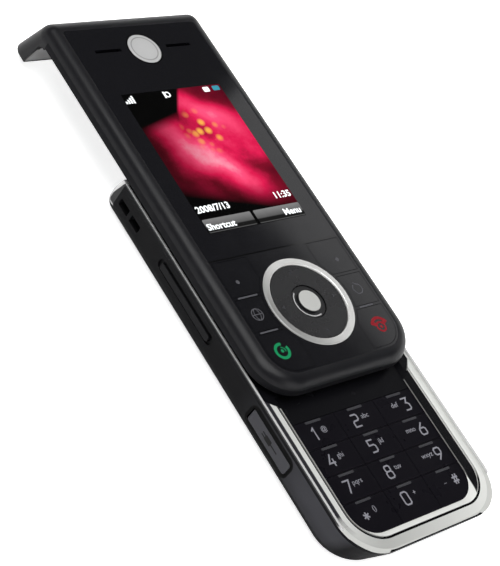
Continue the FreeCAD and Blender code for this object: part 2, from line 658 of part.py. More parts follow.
def frame_opening():
    """Room inside the keypad frame, widening up to its crest, as far as the horn tips."""
    low = frame_outline(KEYPAD_SIDE_MARGIN, KEYPAD_LOW_MARGIN, KEYPAD_CORNER_RADIUS, KEY_TOP_Z)
    crest_side = KEYPAD_SIDE_MARGIN - FRAME_BEVEL
    crest_end = KEYPAD_LOW_MARGIN - FRAME_BEVEL
    high = frame_outline(crest_side, crest_end, KEYPAD_CORNER_RADIUS + FRAME_BEVEL, BASE_HEIGHT)
    room = Part.makeLoft([low, high], True, True)
    horn_y = KEYPAD_LOW_Y + HORN_LENGTH
    return room.common(box(-BODY_WIDTH, BODY_WIDTH, BASE_LOW_Y, horn_y, KEY_TOP_Z, BASE_HEIGHT))


def frame_groove():
    """Narrow channel along the crest that parts the bevel from the outer band."""
    start = FRAME_BEVEL + (FRAME_CREST - FRAME_GROOVE) / 2
    floor_z = BASE_HEIGHT - FRAME_GROOVE_DEPTH
    channel = []
    for step in (start, start + FRAME_GROOVE):
        side, end = KEYPAD_SIDE_MARGIN - step, KEYPAD_LOW_MARGIN - step
        wire = frame_outline(side, end, KEYPAD_CORNER_RADIUS + step, floor_z)
        channel.append(Part.Face(wire).extrude(Vector(0, 0, 2 * FRAME_GROOVE_DEPTH)))
    inner, outer = channel
    return outer.cut(inner)


def keypad_frame():
    """Bright U round the number keypad: bevel up to a crest, then a slope down to the outer edge."""
    high_y = KEYPAD_LOW_Y + HORN_LENGTH
    crest_side = KEYPAD_SIDE_MARGIN - FRAME_BEVEL - FRAME_CREST
    crest_end = KEYPAD_LOW_MARGIN - FRAME_BEVEL - FRAME_CREST
    crest_radius = KEYPAD_CORNER_RADIUS + FRAME_BEVEL + FRAME_CREST
    edge_radius = KEYPAD_CORNER_RADIUS + KEYPAD_SIDE_MARGIN - FRAME_EDGE_MARGIN
    edge_low = frame_outline(FRAME_EDGE_MARGIN, FRAME_END_MARGIN, edge_radius, KEY_TOP_Z)
    edge_high = frame_outline(FRAME_EDGE_MARGIN, FRAME_END_MARGIN, edge_radius, DECK_TOP_Z)
    crest_outer = frame_outline(crest_side, crest_end, crest_radius, BASE_HEIGHT)
    rim = Part.Face(edge_low).extrude(Vector(0, 0, DECK_TOP_Z - KEY_TOP_Z))
    slope = Part.makeLoft([edge_high, crest_outer], True, True)
    frame = rim.fuse(slope).cut(box(-BODY_WIDTH, BODY_WIDTH, high_y, 3 * BASE_LENGTH, 0, 2 * BASE_HEIGHT))
    frame = frame.cut([frame_opening(), frame_groove()])
    inner = KEYPAD_HALF_WIDTH
    outer = HALF_WIDTH - FRAME_EDGE_MARGIN
    for side in (-1, 1):
        plan = [
            (side * inner / 2, high_y - HORN_TAPER), (side * inner, high_y - HORN_TAPER),
            (side * outer, high_y), (side * outer, high_y + 1), (side * inner / 2, high_y + 1),
        ]
        points = [Vector(x, y, 0) for x, y in plan + plan[:1]]
        taper = Part.Face(Part.makePolygon(points)).extrude(Vector(0, 0, 2 * BASE_HEIGHT))
        frame = frame.cut(taper)
    return frame.removeSplitter()


def battery_cover():
    """Thin tray that forms the lower rear of the phone and slides off towards the lower end."""
    high_y = COVER_SPLIT_Y - SEAM_GAP
    top_z = COVER_SPLIT_HEIGHT - SEAM_GAP
    tray = base_slice(0, 0, top_z, y1=high_y)
    return tray.cut(base_slice(COVER_WALL, COVER_WALL, top_z + 1))


def rear_housing(trim, frame):
    """Main shell of the base: walls, battery bay and the seats of the side features."""
    shell = base_slice(0, 0, SHOULDER_HEIGHT)
    cover_zone = base_slice(0, 0, COVER_SPLIT_HEIGHT, y1=COVER_SPLIT_Y)
    inside_cover = base_slice(COVER_WALL + NEST_GAP, 0, COVER_SPLIT_HEIGHT)
    shell = shell.cut(cover_zone.cut(inside_cover))
    tools = [
        base_slice(SHELL_WALL, BAY_CEILING_TOP_Z, BASE_HEIGHT, y1=CAVITY_HIGH_Y),
        base_slice(SHELL_WALL, REAR_WALL, BASE_HEIGHT, y0=COVER_SPLIT_Y + SHELL_WALL, y1=CAVITY_HIGH_Y),
    ]
    shell = shell.cut(tools)
    shell = shell.fuse([port_backing(0), strap_backing(0)])
    tools = [
        trim, frame, hem_way(),
        box(-BAY_HALF_WIDTH, BAY_HALF_WIDTH, BAY_LOW_Y, BAY_HIGH_Y, 0, BAY_CEILING_Z),
        post(CAMERA_WINDOW_RADIUS, 0, CAMERA_Y, 0, CAMERA_WINDOW_SINK + CAMERA_WINDOW_THICKNESS),
        post(CAMERA_BARREL_RADIUS + NEST_GAP, 0, CAMERA_Y, 0, REAR_WALL + 1),
        port_recess(), trunnion(PIVOT_GAP), socket_block(NEST_GAP), strap_channel(),
        volume_recess(), side_key_hole(-1, VOLUME_Y, VOLUME_LENGTH),
        side_key_hole(1, CAMERA_KEY_Y, CAMERA_KEY_LENGTH),
        antenna_pocket(), microphone_block(NEST_GAP),
    ]
    tools += speaker_slots()
    tools += contact_blocks(NEST_GAP)
    tools += [case_screw(x, y, NEST_GAP) for x, y in case_screw_places()]
    return shell.cut(tools).removeSplitter()


def front_deck(trim, frame):
    """Upper half of the base: floor under the keys, apron above them and recess of the slide mechanism."""
    collar = base_slice(SHELL_WALL + NEST_GAP, DECK_FLOOR_Z, SHOULDER_HEIGHT, y1=CAVITY_HIGH_Y - NEST_GAP)
    flange = base_slice(0, SHOULDER_HEIGHT, DECK_TOP_Z)
    key_well = rounded_block(
        KEYPAD_HALF_WIDTH, KEYPAD_LOW_Y, KEYPAD_HIGH_Y, KEYPAD_CORNER_RADIUS, KEY_GAP,
        DECK_FLOOR_TOP_Z, SLIDER_LOW_Z,
    )
    apron_well = box(
        -KEYPAD_HALF_WIDTH, KEYPAD_HALF_WIDTH, KEYPAD_HIGH_Y - KEY_GAP, PAN_LOW_Y, KEY_TOP_Z, SLIDER_LOW_Z
    )
    pan = box(-LANE_X, LANE_X, PAN_LOW_Y, PAN_HIGH_Y, DECK_FLOOR_TOP_Z, SLIDER_LOW_Z)
    low_z = DECK_FLOOR_Z - 1
    high_z = DECK_FLOOR_TOP_Z + 1
    tools = [key_well, apron_well, frame_opening(), pan, hem_way(), trim, frame]
    tools.append(ribbon_slot(RIBBON_FIXED_Y, low_z, high_z))
    tools += [
        post(KEY_STEM_RADIUS + STEM_GAP, (x0 + x1) / 2, (y0 + y1) / 2, low_z, high_z)
        for _, x0, x1, y0, y1 in key_cells()
    ]
    tools += [post(CASE_SCREW_RADIUS, x, y, low_z, DECK_FLOOR_TOP_Z) for x, y in case_screw_places()]
    tools += [post(STAKE_RADIUS, x, y, low_z, high_z) for x, y in fixed_stake_places()]
    return collar.fuse(flange).cut(tools).removeSplitter()


# ---------------------------------------------------------------------------------------------------------
# Base: number keys
# ---------------------------------------------------------------------------------------------------------


def key_cells():
    """Names and plan limits of the number keys, row by row from the top."""
    names = [f"key_{n}" for n in (1, 2, 3, 4, 5, 6, 7, 8, 9, "star", 0, "hash")]
    width = 2 * KEYPAD_HALF_WIDTH / 3
    cells = []
    for index, name in enumerate(names):
        row, column = divmod(index, 3)
        x0 = -KEYPAD_HALF_WIDTH + column * width
        y1 = KEYPAD_HIGH_Y - row * KEY_ROW_PITCH
        y0 = KEYPAD_LOW_Y if row == 3 else y1 - KEY_ROW_PITCH
        cells.append((name, x0, x0 + width, y0, y1))
    return cells


def number_key(x0, x1, y0, y1):
    """Key cap with the stem that presses its dome."""
    inset = KEY_GAP / 2
    cap = box(x0 + inset, x1 - inset, y0 + inset, y1 - inset, KEY_CAP_Z, KEY_TOP_Z)
    field = rounded_block(
        KEYPAD_HALF_WIDTH - KEY_GAP, KEYPAD_LOW_Y + KEY_GAP, KEYPAD_HIGH_Y - KEY_GAP,
        KEYPAD_CORNER_RADIUS - KEY_GAP, KEY_GAP, KEY_CAP_Z, KEY_TOP_Z,
    )
    stem_z = DOME_SHEET_TOP_Z + DOME_RISE + KEY_TRAVEL + KEY_REST
    stem = post(KEY_STEM_RADIUS, (x0 + x1) / 2, (y0 + y1) / 2, stem_z, (KEY_CAP_Z + KEY_TOP_Z) / 2)
    return fuse([cap.common(field), stem])


def keypad_domes():
    """Sheet of metal snap domes on the board, one under each number key."""
    half = KEYPAD_HALF_WIDTH - DOME_SHEET_MARGIN
    low_y = KEYPAD_LOW_Y + DOME_SHEET_MARGIN
    parts = [box(-half, half, low_y, KEYPAD_HIGH_Y, BOARD_TOP_Z, DOME_SHEET_TOP_Z)]
    parts += [
        post(DOME_RADIUS, (x0 + x1) / 2, (y0 + y1) / 2, BOARD_TOP_Z, DOME_SHEET_TOP_Z + DOME_RISE)
        for _, x0, x1, y0, y1 in key_cells()
    ]
    return fuse(parts).cut(socket_block(NEST_GAP))


# ---------------------------------------------------------------------------------------------------------
# Base: side features
# ---------------------------------------------------------------------------------------------------------


def port_recess():
    """Pocket of the charging port's cover in the left wall, square at the hinge end."""
    pocket = side_block(
        -HALF_WIDTH - 1, -PORT_INNER_X, PORT_LOW_Y, PORT_HIGH_Y,
        PORT_LOW_Z, PORT_LOW_Z + PORT_HEIGHT, PORT_CORNER_RADIUS,
    )
    hinge_end = box(
        -HALF_WIDTH - 1, -PORT_INNER_X, PORT_HIGH_Y - PORT_DEPTH, PORT_HIGH_Y,
        PORT_LOW_Z, PORT_LOW_Z + PORT_HEIGHT,
    )
    return fuse([pocket, hinge_end])


def port_backing(gap):
    """Wall thickened behind the port's recess; with a gap it is the room it needs."""
    return box(
        -HALF_WIDTH + SHELL_WALL - gap, -PORT_BACKING_X + gap, PORT_LOW_Y - PORT_BACKING - gap,
        PORT_HIGH_Y + PORT_BACKING + gap, BAY_CEILING_Z, DECK_FLOOR_Z,
    )


def port_hinge():
    """Axis point of the port cover's trunnions and the radius of its rounded end."""
    radius = (PORT_DEPTH - SEAM_GAP) / 2
    return -HALF_WIDTH + radius, PORT_HIGH_Y - PORT_GAP - radius, radius


def trunnion(gap):
    x, y, _ = port_hinge()
    reach = TRUNNION_LENGTH + gap
    return post(TRUNNION_RADIUS + gap, x, y, PORT_LOW_Z - reach, PORT_LOW_Z + PORT_HEIGHT + reach)


def port_cover():
    """Rubber flap over the charging socket, on trunnions at its upper end."""
    x, y, radius = port_hinge()
    low_z = PORT_LOW_Z + PORT_GAP / 2
    high_z = PORT_LOW_Z + PORT_HEIGHT - PORT_GAP / 2
    inner_x = -PORT_INNER_X - SEAM_GAP
    flap = side_block(
        -HALF_WIDTH, inner_x, PORT_LOW_Y + PORT_GAP, PORT_HIGH_Y - PORT_GAP, low_z, high_z,
        PORT_CORNER_RADIUS,
    )
    plan = post(radius, x, y, low_z, high_z).fuse(box(-HALF_WIDTH, inner_x, PORT_LOW_Y, y, low_z, high_z))
    return fuse([flap.common(plan), trunnion(0)])


def socket_block(gap):
    """Outside of the charging socket; with a gap it is the room for it, open into the port's recess."""
    nose_x = -PORT_INNER_X + SOCKET_SINK
    mouth_x = nose_x if gap == 0 else -PORT_INNER_X
    half_y = SOCKET_WIDTH / 2 + gap
    half_z = SOCKET_HEIGHT / 2 + gap
    return box(
        mouth_x, nose_x + SOCKET_DEPTH + gap, SOCKET_Y - half_y, SOCKET_Y + half_y,
        SOCKET_MIDDLE_Z - half_z, SOCKET_MIDDLE_Z + half_z,
    )


def usb_socket():
    """Charging and data socket, open towards the port cover."""
    mouth_x = -PORT_INNER_X + SOCKET_SINK
    back_x = mouth_x + SOCKET_DEPTH
    half_y = SOCKET_WIDTH / 2 - SOCKET_SHELL
    half_z = SOCKET_HEIGHT / 2 - SOCKET_SHELL
    hollow = box(
        mouth_x, back_x - 2 * SOCKET_SHELL, SOCKET_Y - half_y, SOCKET_Y + half_y,
        SOCKET_MIDDLE_Z - half_z, SOCKET_MIDDLE_Z + half_z,
    )
    tongue = box(
        mouth_x + SOCKET_SHELL, back_x - SOCKET_SHELL, SOCKET_Y - half_y + 3 * SOCKET_SHELL,
        SOCKET_Y + half_y - 3 * SOCKET_SHELL, SOCKET_MIDDLE_Z - SOCKET_SHELL, SOCKET_MIDDLE_Z + SOCKET_SHELL,
    )
    return fuse([socket_block(0).cut(hollow), tongue])


def strap_backing(gap):
    """Thickened wall that carries the wrist strap; with a gap it is the room it needs."""
    depth = STRAP_POST_DEPTH + STRAP_CHANNEL + STRAP_BACKING
    return box(
        -HALF_WIDTH + SHELL_WALL - gap, -HALF_WIDTH + depth + gap, STRAP_LOW_Y - STRAP_BACKING - gap,
        STRAP_HIGH_Y + STRAP_BACKING + gap, STRAP_LOW_Z - STRAP_BACKING - gap, DECK_FLOOR_Z,
    )


def strap_channel():
    """Two slots in the left wall that meet behind a post."""
    depth = STRAP_POST_DEPTH + STRAP_CHANNEL
    middle = (STRAP_LOW_Y + STRAP_HIGH_Y) / 2
    half = STRAP_POST_WIDTH / 2
    channel = side_block(
        -HALF_WIDTH - 1, -HALF_WIDTH + depth, STRAP_LOW_Y, STRAP_HIGH_Y, STRAP_LOW_Z, STRAP_TOP_Z,
        STRAP_CORNER_RADIUS,
    )
    strap_post = box(
        -HALF_WIDTH - 2, -HALF_WIDTH + STRAP_POST_DEPTH, middle - half, middle + half,
        STRAP_LOW_Z - 1, STRAP_TOP_Z + 1,
    )
    return channel.cut(strap_post)


def on_side(side, x0, x1):
    """Near and far limits along X, mirrored for the left side."""
    return (x0, x1) if side > 0 else (-x1, -x0)


def side_key(side, y, length, nub_places):
    """Key in a side wall, kept in by a flange inside the wall, with a nub over each switch."""
    half = length / 2
    low_z, high_z = BOARD_Z, DECK_FLOOR_Z - SIDE_KEY_GAP
    flange_inner_x = SIDE_KEY_FLANGE_X - SIDE_KEY_FLANGE
    x0, x1 = on_side(side, SIDE_KEY_BODY_X, HALF_WIDTH + SIDE_KEY_PROUD)
    body = side_block(
        x0, x1, y - half, y + half, SIDE_KEY_LOW_Z, SIDE_KEY_LOW_Z + SIDE_KEY_HEIGHT, SIDE_KEY_CORNER_RADIUS
    )
    x0, x1 = on_side(side, flange_inner_x, SIDE_KEY_BODY_X)
    neck = box(x0, x1, y - half + SIDE_KEY_FLANGE_LAP, y + half - SIDE_KEY_FLANGE_LAP, low_z, high_z)
    x0, x1 = on_side(side, flange_inner_x, SIDE_KEY_FLANGE_X)
    flange = box(x0, x1, y - half - SIDE_KEY_FLANGE_LAP, y + half + SIDE_KEY_FLANGE_LAP, low_z, high_z)
    x0, x1 = on_side(side, SIDE_KEY_NUB_X, flange_inner_x)
    nubs = [box(x0, x1, place - NUB_WIDTH / 2, place + NUB_WIDTH / 2, low_z, high_z) for place in nub_places]
    return fuse([body, neck, flange] + nubs)


def side_key_hole(side, y, length):
    """Hole in the side wall for a side key."""
    half = length / 2 + SIDE_KEY_GAP
    x0, x1 = on_side(side, SIDE_KEY_FLANGE_X, HALF_WIDTH + 1)
    return side_block(
        x0, x1, y - half, y + half, SIDE_KEY_LOW_Z - SIDE_KEY_GAP,
        SIDE_KEY_LOW_Z + SIDE_KEY_HEIGHT + SIDE_KEY_GAP, SIDE_KEY_CORNER_RADIUS + SIDE_KEY_GAP,
    )


def volume_recess():
    """Shallow long dish in the left wall round the volume rocker."""
    half_y = VOLUME_RECESS_LENGTH / 2
    half_z = VOLUME_RECESS_HEIGHT / 2
    return side_block(
        -HALF_WIDTH - 1, -HALF_WIDTH + VOLUME_RECESS_DEPTH, VOLUME_Y - half_y, VOLUME_Y + half_y,
        SIDE_KEY_MIDDLE_Z - half_z, SIDE_KEY_MIDDLE_Z + half_z, VOLUME_RECESS_RADIUS,
    )


def volume_nub_places():
    return [VOLUME_Y - VOLUME_NUB_OFFSET, VOLUME_Y + VOLUME_NUB_OFFSET]


def side_switches():
    """Tact switches on the board's edges, behind the side keys."""
    places = [(-1, y) for y in volume_nub_places()] + [(1, CAMERA_KEY_Y)]
    half = SWITCH_WIDTH / 2
    switches = []
    for side, y in places:
        x0, x1 = on_side(side, BOARD_HALF_WIDTH, SWITCH_FACE_X)
        switches.append(box(x0, x1, y - half, y + half, BOARD_Z, BOARD_Z + SWITCH_HEIGHT))
    return Part.makeCompound(switches)


# ---------------------------------------------------------------------------------------------------------
# Base: fasteners and electronics
# ---------------------------------------------------------------------------------------------------------


def case_screw_places():
    places = (BASE_LOW_Y + CASE_SCREW_LOW_INSET, BASE_HIGH_Y - CASE_SCREW_HIGH_INSET)
    return [(side * CASE_SCREW_X, y) for side in (-1, 1) for y in places]


def case_screw(x, y, gap):
    """Screw from the battery side up into the deck; with a gap it is its counterbored hole."""
    head_z = BATTERY_Z + CASE_SCREW_SINK
    mouth_z = head_z if gap == 0 else 0
    head = post(CASE_SCREW_HEAD_RADIUS + gap, x, y, mouth_z, head_z + CASE_SCREW_HEAD)
    shank = post(CASE_SCREW_RADIUS + gap, x, y, head_z, DECK_FLOOR_TOP_Z)
    return fuse([head, shank])


def main_board():
    """Circuit board between the bay's ceiling and the deck."""
    board = base_slice(SHELL_WALL + BOARD_END_GAP, BOARD_Z, BOARD_TOP_Z, y1=CAVITY_HIGH_Y - BOARD_END_GAP)
    board = board.common(
        box(-BOARD_HALF_WIDTH, BOARD_HALF_WIDTH, BASE_LOW_Y, BASE_HIGH_Y, BOARD_Z, BOARD_TOP_Z)
    )
    tools = [socket_block(NEST_GAP), strap_backing(NEST_GAP), port_backing(NEST_GAP)]
    tools += [post(CASE_SCREW_RADIUS + STEM_GAP, x, y, 0, BASE_HEIGHT) for x, y in case_screw_places()]
    return board.cut(tools)


def battery():
    """Flat battery pack, its long edges rounded."""
    low_y = BAY_LOW_Y + BATTERY_GAP
    pack = box(
        -BATTERY_HALF_WIDTH, BATTERY_HALF_WIDTH, low_y, low_y + BATTERY_LENGTH,
        BATTERY_Z, BATTERY_Z + BATTERY_THICKNESS,
    )
    long_edges = [e for e in pack.Edges if abs(e.Length - BATTERY_LENGTH) < 1e-4]
    return pack.makeFillet(BATTERY_THICKNESS / 8, long_edges)


def contact_blocks(gap):
    """The three spring contacts at the upper end of the battery bay."""
    half = CONTACT_WIDTH / 2 + gap
    return [
        box(
            i * CONTACT_PITCH - half, i * CONTACT_PITCH + half, BAY_HIGH_Y, BAY_HIGH_Y + CONTACT_DEPTH + gap,
            BOARD_Z - CONTACT_HEIGHT - gap, BOARD_Z,
        )
        for i in (-1, 0, 1)
    ]


def sim_holder():
    """Stamped frame for the subscriber card on the bay's ceiling."""
    middle = (BAY_LOW_Y + BAY_HIGH_Y) / 2
    half_x, half_y = SIM_FRAME_WIDTH / 2, SIM_FRAME_LENGTH / 2
    low_z = BAY_CEILING_Z - SIM_FRAME_SHEET
    plate = box(-half_x, half_x, middle - half_y, middle + half_y, low_z, BAY_CEILING_Z)
    half_x -= SIM_FRAME_RIM
    half_y -= SIM_FRAME_RIM
    return plate.cut(box(-half_x, half_x, middle - half_y, middle + half_y, 0, BASE_HEIGHT))


def camera_module():
    half = CAMERA_SIZE / 2
    block = box(-half, half, CAMERA_Y - half, CAMERA_Y + half, REAR_WALL, BOARD_Z)
    barrel = post(CAMERA_BARREL_RADIUS, 0, CAMERA_Y, CAMERA_WINDOW_SINK + CAMERA_WINDOW_THICKNESS, REAR_WALL)
    return fuse([block, barrel])


def camera_window():
    low_z = CAMERA_WINDOW_SINK
    return post(CAMERA_WINDOW_RADIUS, 0, CAMERA_Y, low_z, low_z + CAMERA_WINDOW_THICKNESS)


def speaker_slots():
    """Row of slots through the rear wall under the loudspeaker."""
    middle = BASE_HIGH_Y - SPEAKER_FROM_TOP
    first_x = SPEAKER_X - SPEAKER_SLOT_PITCH * (SPEAKER_SLOTS - 1) / 2
    half_x, half_y = SPEAKER_SLOT_WIDTH / 2, SPEAKER_SLOT_LENGTH / 2
    slots = []
    for index in range(SPEAKER_SLOTS):
        x = first_x + index * SPEAKER_SLOT_PITCH
        slots.append(box(x - half_x, x + half_x, middle - half_y, middle + half_y, -1, REAR_WALL + 1))
    return slots


def loudspeaker():
    y = BASE_HIGH_Y - SPEAKER_FROM_TOP
    return post(SPEAKER_RADIUS, SPEAKER_X, y, REAR_WALL, REAR_WALL + SPEAKER_HEIGHT)


def vibration_motor():
    return post(MOTOR_RADIUS, MOTOR_X, BASE_HIGH_Y - MOTOR_FROM_TOP, REAR_WALL, REAR_WALL + MOTOR_HEIGHT)


def antenna_pocket():
    half = ANTENNA_LENGTH / 2 + NEST_GAP
    low_y = END_PIECE_HIGH_Y - ANTENNA_WIDTH - NEST_GAP
    return box(-half, half, low_y, END_PIECE_HIGH_Y + NEST_GAP, BOARD_Z - ANTENNA_POCKET, BOARD_Z)


def antenna():
    """Strip radiator held against the lower end of the board."""
    half = ANTENNA_LENGTH / 2
    low_y = END_PIECE_HIGH_Y - ANTENNA_WIDTH
    return box(-half, half, low_y, END_PIECE_HIGH_Y, BOARD_Z - ANTENNA_SHEET, BOARD_Z)


def microphone_block(gap):
    """Microphone under the lower end of the board; with a gap it is its pocket."""
    half = MICROPHONE_SIZE / 2 + gap
    middle = END_PIECE_HIGH_Y - MICROPHONE_SIZE / 2
    low_z = BOARD_Z - MICROPHONE_HEIGHT - gap
    return box(MICROPHONE_X - half, MICROPHONE_X + half, middle - half, middle + half, low_z, BOARD_Z)


# ---------------------------------------------------------------------------------------------------------
# Slide mechanism
# ---------------------------------------------------------------------------------------------------------


def stake_places(low_y, high_y):
    stations = (low_y + STAKE_END_INSET, high_y - STAKE_END_INSET)
    return [(side * STAKE_X, y) for side in (-1, 1) for y in stations]


def fixed_stake_places():
    return stake_places(FIXED_PLATE_LOW_Y, FIXED_PLATE_HIGH_Y)


def moving_stake_places():
    return stake_places(MOVING_PLATE_LOW_Y, MOVING_PLATE_HIGH_Y)


def ribbon_slot(y, z0, z1):
    half = (RIBBON_WIDTH + RIBBON_SLOT) / 2
    return box(-half, half, y - RIBBON_SLOT / 2, y + RIBBON_SLOT / 2, z0, z1)


def slide_fixed_plate():
    """Steel pan staked to the deck, with raised flanges that the moving plate's hems run on."""
    y0, y1 = FIXED_PLATE_LOW_Y, FIXED_PLATE_HIGH_Y
    web_x = RAIL_HALF_WIDTH - RAIL_SHEET
    parts = [box(-RAIL_HALF_WIDTH, RAIL_HALF_WIDTH, y0, y1, DECK_FLOOR_TOP_Z, PAN_TOP_Z)]
    parts += mirrored_box(web_x, RAIL_HALF_WIDTH, y0, y1, DECK_FLOOR_TOP_Z, FLANGE_TOP_Z)
    parts += mirrored_box(web_x, FLANGE_OUTER_X, y0, y1, FLANGE_Z, FLANGE_TOP_Z)
    head_z = DECK_FLOOR_Z - STAKE_HEAD
    for x, y in fixed_stake_places():
        parts.append(post(STAKE_RADIUS, x, y, DECK_FLOOR_Z - STAKE_HEAD / 2, PAN_TOP_Z))
        parts.append(post(STAKE_HEAD_RADIUS, x, y, head_z, DECK_FLOOR_Z))
    eye_top_z = SPRING_LOW_Z + 2 * SPRING_WIRE_RADIUS
    for side in (-1, 1):
        x = side * FIXED_PIVOT_X
        parts.append(post(RIVET_RADIUS, x, FIXED_PIVOT_Y, DECK_FLOOR_TOP_Z, eye_top_z + RIVET_HEAD))
        parts.append(post(RIVET_HEAD_RADIUS, x, FIXED_PIVOT_Y, eye_top_z, eye_top_z + RIVET_HEAD))
    return fuse(parts).cut(ribbon_slot(RIBBON_FIXED_Y, DECK_FLOOR_Z, PAN_TOP_Z + 1))


def slide_moving_plate():
    """Steel plate staked under the slider; its hems wrap round the fixed plate's flanges."""
    y0, y1 = MOVING_PLATE_LOW_Y, MOVING_PLATE_HIGH_Y
    parts = [box(-HEM_OUTER_X, HEM_OUTER_X, y0, y1, MOVING_PLATE_Z, SLIDER_LOW_Z)]
    parts += mirrored_box(HEM_INNER_X, HEM_OUTER_X, y0, y1, HEM_Z, SLIDER_LOW_Z)
    parts += mirrored_box(RAIL_HALF_WIDTH + RAIL_GAP, HEM_OUTER_X, y0, y1, HEM_Z, HEM_TOP_Z)
    for x, y in moving_stake_places():
        parts.append(post(STAKE_RADIUS, x, y, MOVING_PLATE_Z, SLIDER_FLOOR_TOP_Z + STAKE_HEAD / 2))
        parts.append(post(STAKE_HEAD_RADIUS, x, y, SLIDER_FLOOR_TOP_Z, SLIDER_FLOOR_TOP_Z + STAKE_HEAD))
    head_z = SPRING_HIGH_Z - 2 * SPRING_WIRE_RADIUS - RIVET_HEAD
    for side in (-1, 1):
        x = side * MOVING_PIVOT_X
        parts.append(post(RIVET_RADIUS, x, MOVING_PIVOT_Y, head_z, SLIDER_LOW_Z))
        parts.append(post(RIVET_HEAD_RADIUS, x, MOVING_PIVOT_Y, head_z, head_z + RIVET_HEAD))
    return fuse(parts).cut(ribbon_slot(RIBBON_MOVING_Y, MOVING_PLATE_Z - 1, SLIDER_LOW_Z + 1))


def wire_loop(radius, centre):
    return Part.makeTorus(radius, SPRING_WIRE_RADIUS, centre)


def slide_spring(side):
    """Torsion spring between rivets of the two plates, with a coil between its legs."""
    fixed = Vector(side * FIXED_PIVOT_X, FIXED_PIVOT_Y, SPRING_LOW_Z)
    moving = Vector(side * MOVING_PIVOT_X, MOVING_PIVOT_Y, SPRING_HIGH_Z)
    leg_start = fixed + Vector(side * SPRING_EYE_RADIUS, 0, 0)
    coil = leg_start + Vector(-side * SPRING_COIL_RADIUS, SPRING_COIL_FROM_PIVOT, 0)
    coil_top = Vector(coil.x, coil.y, SPRING_HIGH_Z)
    to_eye = moving - coil_top
    lean = math.acos((SPRING_COIL_RADIUS - SPRING_EYE_RADIUS) / to_eye.Length)
    heading = math.atan2(to_eye.y, to_eye.x) + side * lean
    reach = Vector(math.cos(heading), math.sin(heading), 0)
    from_point = coil_top + reach * SPRING_COIL_RADIUS
    leg_run = moving + reach * SPRING_EYE_RADIUS - from_point
    leg = SPRING_LEG_RADIUS
    return fuse(
        [
            wire_loop(SPRING_EYE_RADIUS, fixed),
            Part.makeCylinder(leg, SPRING_COIL_FROM_PIVOT, leg_start, Vector(0, 1, 0)),
            wire_loop(SPRING_COIL_RADIUS, coil),
            post(leg, coil.x - side * SPRING_COIL_RADIUS, coil.y, SPRING_LOW_Z, SPRING_HIGH_Z),
            wire_loop(SPRING_COIL_RADIUS, coil_top),
            Part.makeCylinder(leg, leg_run.Length, from_point, leg_run),
            wire_loop(SPRING_EYE_RADIUS, moving),
        ]
    )


def slide_springs():
    """Pair of springs that snap the slider open or closed."""
    return Part.makeCompound([slide_spring(-1), slide_spring(1)])


def flex_ribbon():
    """Flat cable from the main board, folded between the plates, to the slider's board."""
    half = RIBBON_WIDTH / 2
    sheet = RIBBON_THICKNESS
    low_z = PAN_TOP_Z + sheet
    high_z = MOVING_PLATE_Z - sheet
    fold_y = RIBBON_FIXED_Y - RIBBON_FOLD
    rise_y = RIBBON_FIXED_Y + sheet / 2
    drop_y = RIBBON_MOVING_Y + sheet / 2
    return fuse(
        [
            box(-half, half, rise_y - sheet, rise_y, BOARD_TOP_Z, low_z + sheet),
            box(-half, half, fold_y, rise_y, low_z, low_z + sheet),
            box(-half, half, fold_y, fold_y + sheet, low_z, high_z),
            box(-half, half, fold_y, drop_y, high_z - sheet, high_z),
            box(-half, half, drop_y - sheet, drop_y, high_z - sheet, SLIDER_BOARD_Z),
        ]
    )


# ---------------------------------------------------------------------------------------------------------
# Slider: shells
# ---------------------------------------------------------------------------------------------------------


def slider_cavity(z0, z1):
    return rounded_block(
        HALF_WIDTH - SLIDER_WALL, SLIDER_LOW_Y + SLIDER_WALL, REAR_COVER_HIGH_Y - SLIDER_WALL,
        LOWER_CORNER_RADIUS - SLIDER_WALL, SLIDER_WALL, z0, z1,
    )


def slider_tray():
    """Rear cover without its bosses and holes."""
    tray = slider_slice(SLIDER_LOW_Y - 1, REAR_COVER_HIGH_Y, 0, PART_LINE_Z)
    under = edges_where(tray, lambda p: abs(p.z - SLIDER_LOW_Z) < 1e-4 and p.y < REAR_COVER_HIGH_Y - 1)
    tray = tray.makeChamfer(REAR_COVER_CHAMFER, under)
    return tray.cut(slider_cavity(SLIDER_FLOOR_TOP_Z, PART_LINE_Z + 1))


def slider_screw_places():
    first = SLIDER_LOW_Y + SLIDER_SCREW_FIRST
    return [
        (side * SLIDER_SCREW_X, first + index * SLIDER_SCREW_PITCH)
        for side in (-1, 1)
        for index in range(SLIDER_SCREW_COUNT)
    ]


def slider_screw(x, y):
    """Flat-headed screw from behind into the front shell."""
    head = post(SLIDER_SCREW_HEAD_RADIUS, x, y, SLIDER_LOW_Z, SLIDER_LOW_Z + SLIDER_SCREW_HEAD)
    return fuse([head, post(SLIDER_SCREW_RADIUS, x, y, SLIDER_LOW_Z, INNER_PLATE_Z)])


def board_pad_places():
    high_y = DISPLAY_Y + DISPLAY_LENGTH / 2 - BOARD_PAD_HIGH_INSET
    return [(side * BOARD_PAD_X, y) for side in (-1, 1) for y in (SEAM_Y, high_y)]


